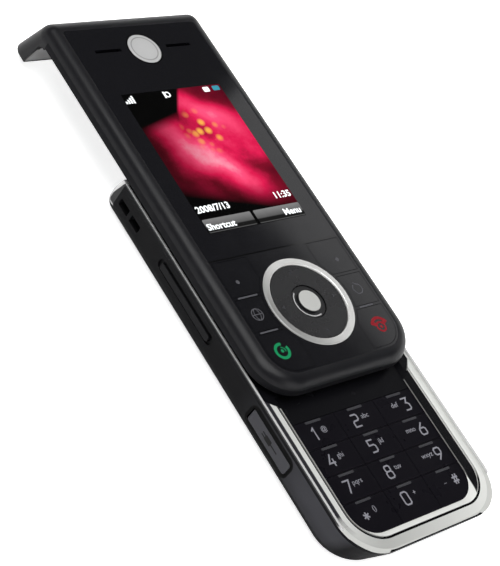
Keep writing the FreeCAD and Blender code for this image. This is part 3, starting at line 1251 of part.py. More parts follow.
def slider_rear_cover():
    """Textured tray that closes the slider from behind and carries the moving plate."""
    tray = slider_tray()
    parts = [
        post(SLIDER_SCREW_BOSS, x, y, SLIDER_LOW_Z + REAR_COVER_CHAMFER / 2, SLIDER_BOARD_TOP_Z)
        for x, y in slider_screw_places()
    ]
    parts += [
        post(BOARD_PAD_RADIUS, x, y, SLIDER_FLOOR_TOP_Z, SLIDER_BOARD_Z) for x, y in board_pad_places()
    ]
    tools = [slider_screw(x, y) for x, y in slider_screw_places()]
    tools += [post(STAKE_RADIUS, x, y, 0, SLIDER_FLOOR_TOP_Z) for x, y in moving_stake_places()]
    tools.append(ribbon_slot(RIBBON_MOVING_Y, SLIDER_LOW_Z - 1, SLIDER_FLOOR_TOP_Z + 1))
    return tray.fuse(parts).cut(tools).removeSplitter()


def face_field(grow, y0, y1, z0, z1):
    """Plan field of display window and key panel, between two stations."""
    field = rounded_block(
        WINDOW_HALF_WIDTH + grow, WINDOW_LOW_Y - grow, WINDOW_HIGH_Y + grow,
        WINDOW_CORNER_RADIUS + grow, WINDOW_TOP_RADIUS, z0, z1,
    )
    return field.common(box(-BODY_WIDTH, BODY_WIDTH, y0, y1, z0, z1))


def lip_liner():
    """Plate set into the lip's inner face."""
    top_z = SLIDER_LOW_Z - LIP_ROOT_RADIUS
    foot_z = LIP_TIP_HEIGHT + LIP_TIP_ROUND
    low_z = foot_z + LINER_TIP_MARGIN
    low_y = LIP_ROOT_Y + LIP_LEAN * (top_z - low_z) / (top_z - foot_z)
    corners = [
        (LIP_ROOT_Y, top_z), (low_y, low_z),
        (low_y + LINER_THICKNESS, low_z), (LIP_ROOT_Y + LINER_THICKNESS, top_z),
    ]
    half = HALF_WIDTH - LINER_MARGIN
    points = [Vector(-half, y, z) for y, z in corners + corners[:1]]
    return Part.Face(Part.makePolygon(points)).extrude(Vector(2 * half, 0, 0))


def front_housing():
    """Glossy front shell of the slider with the lip over the upper end."""
    upper = slider_slice(SLIDER_LOW_Y - 1, REAR_COVER_HIGH_Y, PART_LINE_Z, FACE_Z + 1)
    lip = slider_slice(REAR_COVER_HIGH_Y, LIP_OUTER_Y + 1, 0, FACE_Z + 1)
    shell = fuse([upper, lip]).cut(slider_cavity(PART_LINE_Z - 1, INNER_PLATE_Z))
    bosses = [
        post(SLIDER_SCREW_BOSS, x, y, SLIDER_BOARD_TOP_Z, INNER_PLATE_Z).common(
            slider_cavity(SLIDER_BOARD_TOP_Z, INNER_PLATE_Z)
        )
        for x, y in slider_screw_places()
    ]
    shell = shell.fuse(bosses)
    half_x = DISPLAY_WIDTH / 2 + DISPLAY_GAP
    half_y = DISPLAY_LENGTH / 2 + DISPLAY_GAP
    ear_x, ear_y = EARPIECE_WIDTH / 2 + DISPLAY_GAP, EARPIECE_LENGTH / 2 + DISPLAY_GAP
    low_z = INNER_PLATE_Z - 1
    tools = [
        face_field(0, -BASE_LENGTH, 2 * BASE_LENGTH, WINDOW_Z, FACE_Z + 1),
        box(-half_x, half_x, DISPLAY_Y - half_y, DISPLAY_Y + half_y, low_z, FACE_Z),
        box(-ear_x, ear_x, EARPIECE_Y - ear_y, EARPIECE_Y + ear_y, low_z, FACE_Z),
        box(
            -EAR_SLOT_OUTER, EAR_SLOT_OUTER, EARPIECE_Y - SOUND_CHANNEL / 2, EARPIECE_Y + SOUND_CHANNEL / 2,
            WINDOW_Z - SOUND_CHANNEL_DEPTH, FACE_Z,
        ),
        post(NAV_STEM_RADIUS + STEM_GAP, 0, NAV_Y, low_z, FACE_Z),
        lip_liner(),
    ]
    tools += [post(NAV_STEM_RADIUS + NAV_STEM_GAP, x, y, low_z, FACE_Z) for x, y in nav_stem_places()]
    tools += [
        post(FUNCTION_STEM_RADIUS + STEM_GAP, *function_stem_place(side, low_y, high_y), low_z, FACE_Z)
        for _, side, low_y, high_y in function_key_cells()
    ]
    tools += [post(SLIDER_SCREW_RADIUS, x, y, 0, INNER_PLATE_Z) for x, y in slider_screw_places()]
    return shell.cut(tools).removeSplitter()


def display_lens():
    """Clear window over display and earpiece, with the sunk seat of the round badge."""
    window = face_field(0, SEAM_Y, LIP_OUTER_Y, WINDOW_Z, FACE_Z)
    half = EAR_SLOT_WIDTH / 2
    low_y, high_y = EARPIECE_Y - half, EARPIECE_Y + half
    tools = mirrored_box(EAR_SLOT_INNER, EAR_SLOT_OUTER, low_y, high_y, WINDOW_Z, FACE_Z)
    tools.append(post(BADGE_RADIUS + BADGE_GAP, 0, BADGE_Y, FACE_Z - BADGE_DEPTH, FACE_Z))
    return window.cut(tools)


def badge_disc():
    """Bare round badge set into the window."""
    top_z = FACE_Z + BADGE_PROUD
    return rounded_top(post(BADGE_RADIUS, 0, BADGE_Y, FACE_Z - BADGE_DEPTH, top_z), top_z, BADGE_ROUND)


def key_panel():
    """Fixed lower part of the face between the keys."""
    panel = face_field(0, SLIDER_LOW_Y, SEAM_Y, WINDOW_Z, FACE_Z)
    tools = [post(NAV_RING_OUTER, 0, NAV_Y, WINDOW_Z, FACE_Z)]
    tools += [
        function_key_plan(side, low_y, high_y, KEY_GAP, WINDOW_Z, FACE_Z)
        for _, side, low_y, high_y in function_key_cells()
    ]
    return panel.cut(tools)


# ---------------------------------------------------------------------------------------------------------
# Slider: keys
# ---------------------------------------------------------------------------------------------------------


def rounded_top(shape, top_z, radius):
    """Rounds the round edges at a given height."""
    rims = edges_where(shape, lambda p: abs(p.z - top_z) < 1e-4)
    return shape.makeFillet(radius, [e for e in rims if e.isClosed()])


def function_key_cells():
    """Name, side and limits along the length of the six function keys beside the navigation key."""
    half_pitch = FUNCTION_KEY_PITCH / 2
    half_web = FUNCTION_KEY_WEB / 2
    rows = [
        (WINDOW_LOW_Y + FUNCTION_KEY_EDGE, NAV_Y - half_pitch - half_web),
        (NAV_Y - half_pitch + half_web, NAV_Y + half_pitch - half_web),
        (NAV_Y + half_pitch + half_web, SEAM_Y - FUNCTION_KEY_EDGE),
    ]
    names = [("send_key", "end_key"), ("browser_key", "shortcut_key"), ("soft_key_left", "soft_key_right")]
    return [
        (name, side, low_y, high_y)
        for (low_y, high_y), pair in zip(rows, names)
        for side, name in zip((-1, 1), pair)
    ]


def function_key_plan(side, low_y, high_y, gap, z0, z1):
    """Key field with its corner cut round the navigation ring."""
    x0, x1 = on_side(side, FUNCTION_KEY_INNER - gap, FUNCTION_KEY_OUTER + gap)
    field = face_field(gap - FUNCTION_KEY_EDGE, low_y - gap, high_y + gap, z0, z1)
    field = field.common(box(x0, x1, low_y - gap, high_y + gap, z0, z1))
    return field.cut(post(NAV_RING_OUTER + FUNCTION_KEY_RING_GAP - gap, 0, NAV_Y, z0, z1))


def function_stem_place(side, low_y, high_y):
    return side * (FUNCTION_KEY_OUTER + NAV_RING_OUTER) / 2, (low_y + high_y) / 2


def function_key(side, low_y, high_y):
    """Key cap with the stem that presses its dome."""
    cap = function_key_plan(side, low_y, high_y, 0, CAP_KEY_Z, FACE_Z)
    x, y = function_stem_place(side, low_y, high_y)
    return fuse([cap, post(FUNCTION_STEM_RADIUS, x, y, SLIDER_STEM_Z, (CAP_KEY_Z + FACE_Z) / 2)])


def nav_stem_places():
    reach = NAV_STEM_CIRCLE
    return [(reach, NAV_Y), (0, NAV_Y + reach), (-reach, NAV_Y), (0, NAV_Y - reach)]


def nav_trim_ring():
    """Bright fixed ring round the navigation key."""
    top_z = FACE_Z + NAV_RING_PROUD
    ring = post(NAV_RING_OUTER, 0, NAV_Y, WINDOW_Z, top_z).cut(post(NAV_RING_INNER, 0, NAV_Y, 0, 2 * FACE_Z))
    return rounded_top(ring, top_z, NAV_RING_ROUND)


def nav_pad():
    """Four-way ring key with a stem towards each dome."""
    top_z = CAP_KEY_Z + NAV_PAD_THICKNESS
    pad = post(NAV_RING_INNER - NAV_PAD_GAP, 0, NAV_Y, CAP_KEY_Z, top_z)
    pad = pad.cut(post(SELECT_FLANGE_RADIUS + NAV_PAD_GAP, 0, NAV_Y, 0, 2 * FACE_Z))
    stem_z = INNER_PLATE_Z - NAV_CARRIER_GAP + STEM_GAP
    stems = [post(NAV_STEM_RADIUS, x, y, stem_z, (CAP_KEY_Z + top_z) / 2) for x, y in nav_stem_places()]
    return fuse([pad] + stems)


def nav_carrier():
    """Rocking web under the front shell that passes the ring's pushes on to the domes."""
    top_z = INNER_PLATE_Z - NAV_CARRIER_GAP
    web = post(NAV_CARRIER_RADIUS, 0, NAV_Y, top_z - NAV_CARRIER_THICKNESS, top_z)
    return web.cut(post(NAV_CARRIER_HOLE, 0, NAV_Y, 0, 2 * FACE_Z))


def select_key():
    """Round centre button on a wide flange."""
    flange_top_z = CAP_KEY_Z + SELECT_FLANGE
    top_z = FACE_Z + SELECT_PROUD
    button = rounded_top(post(SELECT_RADIUS, 0, NAV_Y, CAP_KEY_Z, top_z), top_z, SELECT_PROUD)
    flange = post(SELECT_FLANGE_RADIUS, 0, NAV_Y, CAP_KEY_Z, flange_top_z)
    return fuse([flange, button, post(NAV_STEM_RADIUS, 0, NAV_Y, SLIDER_STEM_Z, flange_top_z)])


def slider_domes():
    """Dome sheet under the slider's keys."""
    top_z = SLIDER_BOARD_TOP_Z + DOME_SHEET
    low_y = WINDOW_LOW_Y + FUNCTION_KEY_EDGE
    high_y = min(SEAM_Y, DISPLAY_Y - DISPLAY_LENGTH / 2) - DISPLAY_GAP
    sheet = rounded_block(
        SLIDER_BOARD_HALF_WIDTH - DOME_SHEET_MARGIN, low_y, high_y, WINDOW_CORNER_RADIUS, DOME_SHEET_MARGIN,
        SLIDER_BOARD_TOP_Z, top_z,
    )
    places = [function_stem_place(side, low, high) for _, side, low, high in function_key_cells()]
    places += nav_stem_places() + [(0, NAV_Y)]
    domes = [post(DOME_RADIUS, x, y, SLIDER_BOARD_TOP_Z, top_z + DOME_RISE) for x, y in places]
    return fuse([sheet] + domes)


# ---------------------------------------------------------------------------------------------------------
# Slider: electronics
# ---------------------------------------------------------------------------------------------------------


def display_module():
    half_x, half_y = DISPLAY_WIDTH / 2, DISPLAY_LENGTH / 2
    return box(-half_x, half_x, DISPLAY_Y - half_y, DISPLAY_Y + half_y, SLIDER_BOARD_TOP_Z, DISPLAY_TOP_Z)


def earpiece():
    half_x, half_y = EARPIECE_WIDTH / 2, EARPIECE_LENGTH / 2
    return box(
        -half_x, half_x, EARPIECE_Y - half_y, EARPIECE_Y + half_y,
        SLIDER_FLOOR_TOP_Z, WINDOW_Z - EARPIECE_AIR,
    )


def slider_board():
    """Board that carries the display and the slider's keys."""
    low_y = SLIDER_LOW_Y + SLIDER_WALL + STEM_GAP
    high_y = DISPLAY_Y + DISPLAY_LENGTH / 2 + DISPLAY_GAP
    board = rounded_block(
        SLIDER_BOARD_HALF_WIDTH, low_y, high_y, LOWER_CORNER_RADIUS - SLIDER_WALL, SLIDER_WALL,
        SLIDER_BOARD_Z, SLIDER_BOARD_TOP_Z,
    )
    return board.cut([post(SLIDER_SCREW_BOSS + STEM_GAP, x, y, 0, FACE_Z) for x, y in slider_screw_places()])


# ---------------------------------------------------------------------------------------------------------
# Nodes
# ---------------------------------------------------------------------------------------------------------


def save_base():
    trim = chrome_trim()
    frame = keypad_frame()
    save("rear_housing", rear_housing(trim, frame))
    save("front_deck", front_deck(trim, frame))
    save("keypad_frame", frame)
    save("chrome_trim", trim)
    save("battery_cover", battery_cover())
    for name, x0, x1, y0, y1 in key_cells():
        save(name, number_key(x0, x1, y0, y1))
    save("keypad_domes", keypad_domes())
    save("main_board", main_board())
    save("battery", battery())
    save("battery_contacts", Part.makeCompound(contact_blocks(0)))
    save("sim_holder", sim_holder())
    save("camera_module", camera_module())
    save("camera_window", camera_window())
    save("loudspeaker", loudspeaker())
    save("vibration_motor", vibration_motor())
    save("microphone", microphone_block(0))
    save("antenna", antenna())
    save("usb_socket", usb_socket())
    save("port_cover", port_cover())
    save("volume_rocker", side_key(-1, VOLUME_Y, VOLUME_LENGTH, volume_nub_places()))
    save("camera_key", side_key(1, CAMERA_KEY_Y, CAMERA_KEY_LENGTH, [CAMERA_KEY_Y]))
    save("side_switches", side_switches())
    save("housing_screws", Part.makeCompound([case_screw(x, y, 0) for x, y in case_screw_places()]))


def save_slide():
    save("slide_fixed_plate", slide_fixed_plate())
    save("slide_moving_plate", slide_moving_plate())
    save("slide_springs", slide_springs())
    save("flex_ribbon", flex_ribbon())


def save_slider():
    save("front_housing", front_housing())
    save("lip_liner", lip_liner())
    save("slider_rear_cover", slider_rear_cover())
    save("slider_screws", Part.makeCompound([slider_screw(x, y) for x, y in slider_screw_places()]))
    save("display_lens", display_lens())
    save("badge_disc", badge_disc())
    save("key_panel", key_panel())
    for name, side, low_y, high_y in function_key_cells():
        save(name, function_key(side, low_y, high_y))
    save("nav_trim_ring", nav_trim_ring())
    save("nav_pad", nav_pad())
    save("nav_carrier", nav_carrier())
    save("select_key", select_key())
    save("slider_domes", slider_domes())
    save("slider_board", slider_board())
    save("display_module", display_module())
    save("earpiece", earpiece())


if __name__ == "__main__":
    save_base()
    save_slide()
    save_slider()
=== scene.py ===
import math

import bmesh
import bpy
from bpy.props import FloatProperty, FloatVectorProperty, PointerProperty
from mathutils import Euler, Matrix, Vector


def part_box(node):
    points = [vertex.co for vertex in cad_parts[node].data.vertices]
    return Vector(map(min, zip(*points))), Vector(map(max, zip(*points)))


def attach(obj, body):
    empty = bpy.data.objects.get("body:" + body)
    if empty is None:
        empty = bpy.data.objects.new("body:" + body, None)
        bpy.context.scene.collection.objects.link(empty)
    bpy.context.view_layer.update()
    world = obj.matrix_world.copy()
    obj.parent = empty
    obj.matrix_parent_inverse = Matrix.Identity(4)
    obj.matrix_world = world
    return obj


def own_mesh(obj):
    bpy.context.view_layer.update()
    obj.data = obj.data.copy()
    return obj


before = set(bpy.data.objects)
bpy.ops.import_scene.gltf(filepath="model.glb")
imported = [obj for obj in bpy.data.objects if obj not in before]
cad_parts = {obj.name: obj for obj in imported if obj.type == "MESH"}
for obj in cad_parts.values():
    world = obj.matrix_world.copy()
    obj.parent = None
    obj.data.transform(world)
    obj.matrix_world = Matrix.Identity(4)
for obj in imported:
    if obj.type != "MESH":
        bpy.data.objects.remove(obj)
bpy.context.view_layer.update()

bl_info = {
    "name": "Slider Phone",
    "version": (1, 0, 0),
    "blender": (4, 5, 0),
    "location": "View3D > Sidebar > Slider Phone",
    "description": "Finishes, printed legends, lit display and studio of a slider phone",
    "category": "Object",
}

MM = 0.001

KEY_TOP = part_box("key_5")[1].z
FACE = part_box("display_lens")[1].z
PANEL_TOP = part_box("key_panel")[1].z
PAD_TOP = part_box("nav_pad")[1].z
NAV_LOW, NAV_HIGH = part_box("nav_pad")
NAV_Y = (NAV_LOW.y + NAV_HIGH.y) / 2
BADGE_LOW, BADGE_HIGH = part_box("badge_disc")
BADGE_Y = (BADGE_LOW.y + BADGE_HIGH.y) / 2
DISPLAY_LOW, DISPLAY_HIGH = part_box("display_module")
DISPLAY_Y = (DISPLAY_LOW.y + DISPLAY_HIGH.y) / 2


# ---------------------------------------------------------------------------------------------------------
# What a user may change
# ---------------------------------------------------------------------------------------------------------


def colour(name, description, value):
    """Colour that a user may change."""
    return FloatVectorProperty(
        name=name, description=description, subtype="COLOR", size=3, min=0, max=1, default=value
    )


def length(name, description, value):
    """Length in metres that a user may change."""
    return FloatProperty(name=name, description=description, unit="LENGTH", min=0, default=value)


class PhoneColours(bpy.types.PropertyGroup):
    base: colour("Base", "Matte shell of the base", (0.0065, 0.0065, 0.0072))
    # painted sheen: this colour lightens the base's left side near its foot, standing in for light falling
    # there
    base_side_sheen: colour("Base side sheen", "Left side of the base near its foot", (0.045, 0.045, 0.051))
    cover: colour("Battery cover", "Matte cover on the rear", (0.008, 0.008, 0.009))
    slider: colour("Slider", "Satin shell of the slider", (0.006, 0.006, 0.0075))
    slider_back: colour("Slider back", "Textured rear cover of the slider", (0.008, 0.008, 0.0095))
    window: colour("Window", "Glossy window round the display", (0.005, 0.005, 0.0065))
    keypad: colour("Number keys", "Number keys, black with a violet tint", (0.004, 0.0035, 0.0055))
    deck: colour("Deck", "Black deck round the number keys", (0.004, 0.004, 0.005))
    legend: colour("Legends", "Printed digits and letters", (0.24, 0.24, 0.27))
    faint: colour("Faint marks", "Marks on the navigation key", (0.03, 0.03, 0.034))
    send: colour("Send sign", "Sign on the send key", (0.0, 0.2, 0.07))
    end: colour("End sign", "Sign on the end key", (0.2, 0.004, 0.01))
    silver: colour("Keypad frame", "Satin silver frame round the number keys", (0.52, 0.525, 0.505))
    trim: colour("Trim", "Polished strip along the base", (0.72, 0.72, 0.72))
    ring: colour("Navigation ring", "Satin ring round the navigation key", (0.66, 0.66, 0.645))
    port: colour("Port cover", "Rubber cover of the charging socket", (0.055, 0.055, 0.062))
    side_keys: colour("Side keys", "Volume rocker and camera key", (0.006, 0.006, 0.007))
    camera_glass: colour("Camera glass", "Window of the camera", (0.006, 0.007, 0.012))
    lip: colour("Lip", "Pale inner face of the slider's lip", (0.34, 0.34, 0.34))
    liner: colour("Lip liner", "Liner in the slider's lip", (0.42, 0.42, 0.42))
    nav_pad: colour("Navigation key", "Satin navigation key", (0.01, 0.01, 0.011))
    badge: colour("Badge", "Satin disc of the badge", (0.6, 0.6, 0.6))
    select: colour("Select key", "Satin disc of the select key", (0.54, 0.545, 0.525))
    flange: colour("Select flange", "Black flange round the select key", (0.004, 0.004, 0.005))


class PhoneSizes(bpy.types.PropertyGroup):
    ink: length("Ink", "Thickness of printed marks", 0.02 * MM)
    digit: length("Digit height", "Height of the digits", 3.0 * MM)
    stroke: length("Stroke", "Width of the strokes of a digit", 0.36 * MM)
    letter: length("Letter height", "Height of the small letters", 1.25 * MM)
    dash_length: length("Dash length", "Length of the raised dash on each key", 4.7 * MM)
    dash_width: length("Dash width", "Width of the raised dash on each key", 0.56 * MM)
    picture_width: length("Picture width", "Width of the lit display", 30.6 * MM)
    picture_height: length("Picture height", "Height of the lit display", 40.8 * MM)


class PhoneStudio(bpy.types.PropertyGroup):
    floor: length("Floor", "Side of the pale floor", 6.0)
    lens: FloatProperty(name="Lens", description="Focal length", unit="CAMERA", default=101.75)
    camera_place: FloatVectorProperty(
        name="Camera place", description="Where the camera stands", unit="LENGTH", size=3,
        default=(-0.2475988, -0.1058291, 0.2436223),
    )
    camera_turn: FloatVectorProperty(
        name="Camera turn", description="How the camera is turned", unit="ROTATION", size=3,
        default=(0.7334135, -0.4939683, -0.6129317),
    )
    floor_glow: FloatProperty(
        name="Floor glow", description="Glow of the floor as the camera sees it", min=0, default=0.75
    )
    backdrop_glow: FloatProperty(
        name="Backdrop glow", description="Light of the low wall around", min=0, default=0.9
    )
    sky: FloatProperty(name="Sky", description="Strength of the even light", min=0, default=0.06)


def settings():
    """Colours, sizes and studio values of the scene."""
    scene = bpy.context.scene
    return scene.phone_colours, scene.phone_sizes, scene.phone_studio


# ---------------------------------------------------------------------------------------------------------
# Shader nodes and node groups
# ---------------------------------------------------------------------------------------------------------


def new_group(name, inputs, outputs):
    """Empty node group with float sockets; a socket named Place is a vector."""
    group = bpy.data.node_groups.new(name, "ShaderNodeTree")
    for in_out, sockets in (("INPUT", inputs), ("OUTPUT", outputs)):
        for label, value in sockets:
            kind = "NodeSocketVector" if label == "Place" else "NodeSocketFloat"
            socket = group.interface.new_socket(label, in_out=in_out, socket_type=kind)
            if kind == "NodeSocketFloat":
                socket.default_value = value
    return group, group.nodes.new("NodeGroupInput"), group.nodes.new("NodeGroupOutput")


def node(tree, kind, **settings_of_node):
    """New node; names in capitals are properties, the others are input sockets."""
    made = tree.nodes.new("ShaderNode" + kind)
    for key, value in settings_of_node.items():
        if key.isupper():
            setattr(made, key.lower(), value)
        else:
            made.inputs[key.replace("_", " ")].default_value = value
    return made


def feed(tree, value, socket):
    """Gives an input a value, or links it to another node's output."""
    if isinstance(value, bpy.types.NodeSocket):
        tree.links.new(value, socket)
    else:
        socket.default_value = value


def maths(tree, operation, *values):
    """Math node on one or two sockets or numbers; each further value is taken in by a node of its own."""
    made = node(tree, "Math", OPERATION=operation)
    for socket, value in zip(made.inputs, values[:2]):
        feed(tree, value, socket)
    if len(values) > 2:
        return maths(tree, operation, made.outputs[0], *values[2:])
    return made.outputs[0]


def ranged(tree, value, low, high, to_low, to_high):
    """Value brought from one range to another, held at its ends."""
    made = node(tree, "MapRange")
    feed(tree, value, made.inputs["Value"])
    for label, number in (("From Min", low), ("From Max", high), ("To Min", to_low), ("To Max", to_high)):
        feed(tree, number, made.inputs[label])
    return made.outputs["Result"]


def rising(tree, value, low, high):
    """Mask that goes from nought to one as the value goes from low to high."""
    return ranged(tree, value, low, high, 0.0, 1.0)


def falling(tree, value, low, high):
    """Mask that goes from one to nought as the value goes from low to high."""
    return ranged(tree, value, low, high, 1.0, 0.0)


def blended(tree, mask, first, second):
    """Value that goes from the first to the second with the mask."""
    return ranged(tree, mask, 0.0, 1.0, first, second)


def spread(tree, pattern, to_low, to_high):
    """Noise brought from the range that it mostly keeps to into another."""
    return ranged(tree, pattern, 0.3, 0.7, to_low, to_high)


def apart(tree, value, middle):
    """How far a value is from a middle, on either side."""
    return maths(tree, "ABSOLUTE", maths(tree, "SUBTRACT", value, middle))


def leaning(tree, value, other, share):
    """Value with a share of another added, for an edge that leans."""
    return maths(tree, "ADD", value, maths(tree, "MULTIPLY", other, share))


def axes(tree, place):
    """The three coordinates of a place."""
    parts = node(tree, "SeparateXYZ")
    tree.links.new(place, parts.inputs[0])
    return parts.outputs["X"], parts.outputs["Y"], parts.outputs["Z"]


def noise(tree, place, scale, detail=2.0, rough=0.5):
    """Soft noise; scale is in patches a metre."""
    made = node(tree, "TexNoise", Scale=scale, Detail=detail, Roughness=rough)
    tree.links.new(place, made.inputs["Vector"])
    return made.outputs["Fac"]


def give_gloss_and_tone(group, given, made, gloss_pattern, tone_pattern):
    """Roughness and tone of a finish, each following a pattern within the range that it is given."""
    gloss = spread(group, gloss_pattern, given.outputs["Gloss low"], given.outputs["Gloss high"])
    group.links.new(gloss, made.inputs["Roughness"])
    group.links.new(spread(group, tone_pattern, given.outputs["Tone low"], 1.0), made.inputs["Tone"])


def moulded_grain():
    """Fine spark-eroded grain with slow changes of gloss and tone."""
    group, given, made = new_group(
        "moulded_grain",
        (("Place", 0), ("Grain", 9000.0), ("Gloss low", 0.4), ("Gloss high", 0.5), ("Tone low", 0.9)),
        (("Height", 0), ("Roughness", 0), ("Tone", 0)),
    )
    fine = node(group, "TexNoise", Detail=3.0, Roughness=0.6)
    group.links.new(given.outputs["Place"], fine.inputs["Vector"])
    group.links.new(given.outputs["Grain"], fine.inputs["Scale"])
    group.links.new(fine.outputs["Fac"], made.inputs["Height"])
    slow = noise(group, given.outputs["Place"], 160.0, detail=3.0, rough=0.6)
    broad = noise(group, given.outputs["Place"], 28.0, detail=1.0)
    give_gloss_and_tone(group, given, made, slow, broad)


def brushed_lines():
    """Fine lines drawn along one direction, set by how the place is stretched."""
    group, given, made = new_group(
        "brushed_lines",
        (("Place", 0), ("Gloss low", 0.2), ("Gloss high", 0.35), ("Tone low", 0.85)),
        (("Height", 0), ("Roughness", 0), ("Tone", 0)),
    )
    lines = noise(group, given.outputs["Place"], 900.0, detail=3.0, rough=0.65)
    slow = noise(group, given.outputs["Place"], 60.0)
    group.links.new(lines, made.inputs["Height"])
    give_gloss_and_tone(group, given, made, lines, slow)


def dot_grid():
    """Round dots on a square grid, seen from the front; the mask is one inside a dot."""
    group, given, made = new_group(
        "dot_grid", (("Place", 0), ("Pitch", 0.8 * MM), ("Radius", 0.25)), (("Mask", 0),)
    )
    squares = []
    for along in axes(group, given.outputs["Place"])[:2]:
        cell = maths(group, "DIVIDE", along, given.outputs["Pitch"])
        offset = maths(group, "SUBTRACT", maths(group, "FRACT", cell), 0.5)
        squares.append(maths(group, "MULTIPLY", offset, offset))
    reach = maths(group, "SQRT", maths(group, "ADD", *squares))
    group.links.new(maths(group, "LESS_THAN", reach, given.outputs["Radius"]), made.inputs["Mask"])


def channel_distance():
    """Distance outwards from the edge of a well with straight sides and a rounded lower end.

    Side is one beside the well, nought below it, and between them round its corners.
    """
    group, given, made = new_group(
        "channel_distance",
        (("Place", 0), ("Half width", 0.0), ("Low end", 0.0), ("Corner", 0.0)),
        (("Distance", 0), ("Side", 0)),
    )
    x, y, _ = axes(group, given.outputs["Place"])
    corner = given.outputs["Corner"]
    centre_x = maths(group, "SUBTRACT", given.outputs["Half width"], corner)
    centre_y = maths(group, "ADD", given.outputs["Low end"], corner)
    across = maths(group, "SUBTRACT", maths(group, "ABSOLUTE", x), centre_x)
    along = maths(group, "SUBTRACT", centre_y, y)
    beside = maths(group, "MAXIMUM", across, 0.0)
    below = maths(group, "MAXIMUM", along, 0.0)
    squares = [maths(group, "MULTIPLY", away, away) for away in (beside, below)]
    radius = maths(group, "SQRT", maths(group, "ADD", *squares))
    inside = maths(group, "MINIMUM", maths(group, "MAXIMUM", across, along), 0.0)
    reach = maths(group, "ADD", radius, inside)
    group.links.new(maths(group, "SUBTRACT", reach, corner), made.inputs["Distance"])
    not_nought = maths(group, "MAXIMUM", radius, 1e-6)
    group.links.new(maths(group, "DIVIDE", beside, not_nought), made.inputs["Side"])


# ---------------------------------------------------------------------------------------------------------
# Materials
# ---------------------------------------------------------------------------------------------------------

# The well that the keypad frame lines: half its width, its lower end and the radius of its lower corners.
WELL = {"Half_width": 18.9 * MM, "Low_end": -46.2 * MM, "Corner": 6.5 * MM}
# Painted shade: the next four dark colours stand in for shade and dark reflections on the keypad frame, the
# trim's sides, narrow gaps and round the badge.
FRAME_SHADE_BLACK = (0.006, 0.006, 0.007)
TRIM_SHADE_BLACK = (0.007, 0.007, 0.008)
JOINT_SHADE_BLACK = (0.0005, 0.0005, 0.0005)
BADGE_GROOVE_SHADE = (0.12, 0.12, 0.12)
GLINT_YELLOW = (1.0, 0.52, 0.08)
UNLIT = (0.0, 0.0, 0.0)
# Colours of the lit display from dark to bright, each with the level at which it is reached.
ROSY_STOPS = (
    (0.05, (0.02, 0.0, 0.004, 1)),
    (0.2, (0.2, 0.003, 0.018, 1)),
    (0.36, (0.7, 0.01, 0.075, 1)),
    (0.58, (0.98, 0.08, 0.2, 1)),
    (0.85, (1.0, 0.5, 0.6, 1)),
)


def start_material(name, metallic=0.0, coat=0.0, coat_roughness=0.1, specular=0.5):
    """Material with a Principled shader and Object coordinates."""
    material = bpy.data.materials.new(name)
    material.use_nodes = True
    tree = material.node_tree
    shader = tree.nodes["Principled BSDF"]
    shader.inputs["Metallic"].default_value = metallic
    shader.inputs["Coat Weight"].default_value = coat
    shader.inputs["Coat Roughness"].default_value = coat_roughness
    shader.inputs["Specular IOR Level"].default_value = specular
    place = tree.nodes.new("ShaderNodeTexCoord").outputs["Object"]
    return material, tree, shader, place


def placed_group(tree, name, place, **values):
    """Node group in a material, with its own values."""
    made = tree.nodes.new("ShaderNodeGroup")
    made.node_tree = bpy.data.node_groups[name]
    tree.links.new(place, made.inputs["Place"])
    for key, value in values.items():
        made.inputs[key.replace("_", " ")].default_value = value
    return made


def surface_of(tree, name, place, gloss, **values):
    """Tone, roughness and height from a shared finish; gloss is the range of its roughness."""
    made = placed_group(tree, name, place, Gloss_low=gloss[0], Gloss_high=gloss[1], **values)
    return made.outputs["Tone"], made.outputs["Roughness"], made.outputs["Height"]


def well_distance(tree, place):
    """Distance outwards from the edge of the keypad's well, and how far round its side."""
    made = placed_group(tree, "channel_distance", place, **WELL)
    return made.outputs["Distance"], made.outputs["Side"]


def mapped(tree, place, move=(0, 0, 0), stretch=(1, 1, 1)):
    """Place squeezed and moved along each axis."""
    mapping = node(tree, "Mapping", Location=move, Scale=stretch)
    tree.links.new(place, mapping.inputs["Vector"])
    return mapping.outputs["Vector"]


def reach_from(tree, place, centre):
    """Distance from a centre, seen from the front."""
    length_of = node(tree, "VectorMath", OPERATION="LENGTH")
    flat = mapped(tree, place, (-centre[0], -centre[1], 0), (1, 1, 0))
    tree.links.new(flat, length_of.inputs[0])
    return length_of.outputs["Value"]


def radial_mask(tree, place, centre, radius, soft):
    """One outside a circle seen from the front, nought inside."""
    return rising(tree, reach_from(tree, place, centre), radius - soft, radius + soft)


def outside_box(tree, place, low, high, corner):
    """Distance outwards from a box with rounded corners, seen along X."""
    _, y, z = axes(tree, place)
    squares = []
    for value, near, far in ((y, low.y, high.y), (z, low.z, high.z)):
        away = apart(tree, value, (near + far) / 2)
        away = maths(tree, "MAXIMUM", maths(tree, "SUBTRACT", away, (far - near) / 2 - corner), 0.0)
        squares.append(maths(tree, "MULTIPLY", away, away))
    return maths(tree, "SUBTRACT", maths(tree, "SQRT", maths(tree, "ADD", *squares)), corner)


def toned(tree, colour_value, tone):
    """Colour darkened by a tone value that changes over the surface."""
    mix = node(tree, "Mix", DATA_TYPE="RGBA", BLEND_TYPE="MULTIPLY")
    mix.inputs["Factor"].default_value = 1.0
    mix.inputs["A"].default_value = (*colour_value, 1.0)
    tree.links.new(tone, mix.inputs["B"])
    return mix.outputs["Result"]


def mixed(tree, factor, first, second):
    """Colour that goes from the first to the second with the factor."""
    mix = node(tree, "Mix", DATA_TYPE="RGBA")
    tree.links.new(factor, mix.inputs["Factor"])
    for label, value in (("A", first), ("B", second)):
        if not isinstance(value, bpy.types.NodeSocket):
            value = (*value, 1.0)
        feed(tree, value, mix.inputs[label])
    return mix.outputs["Result"]


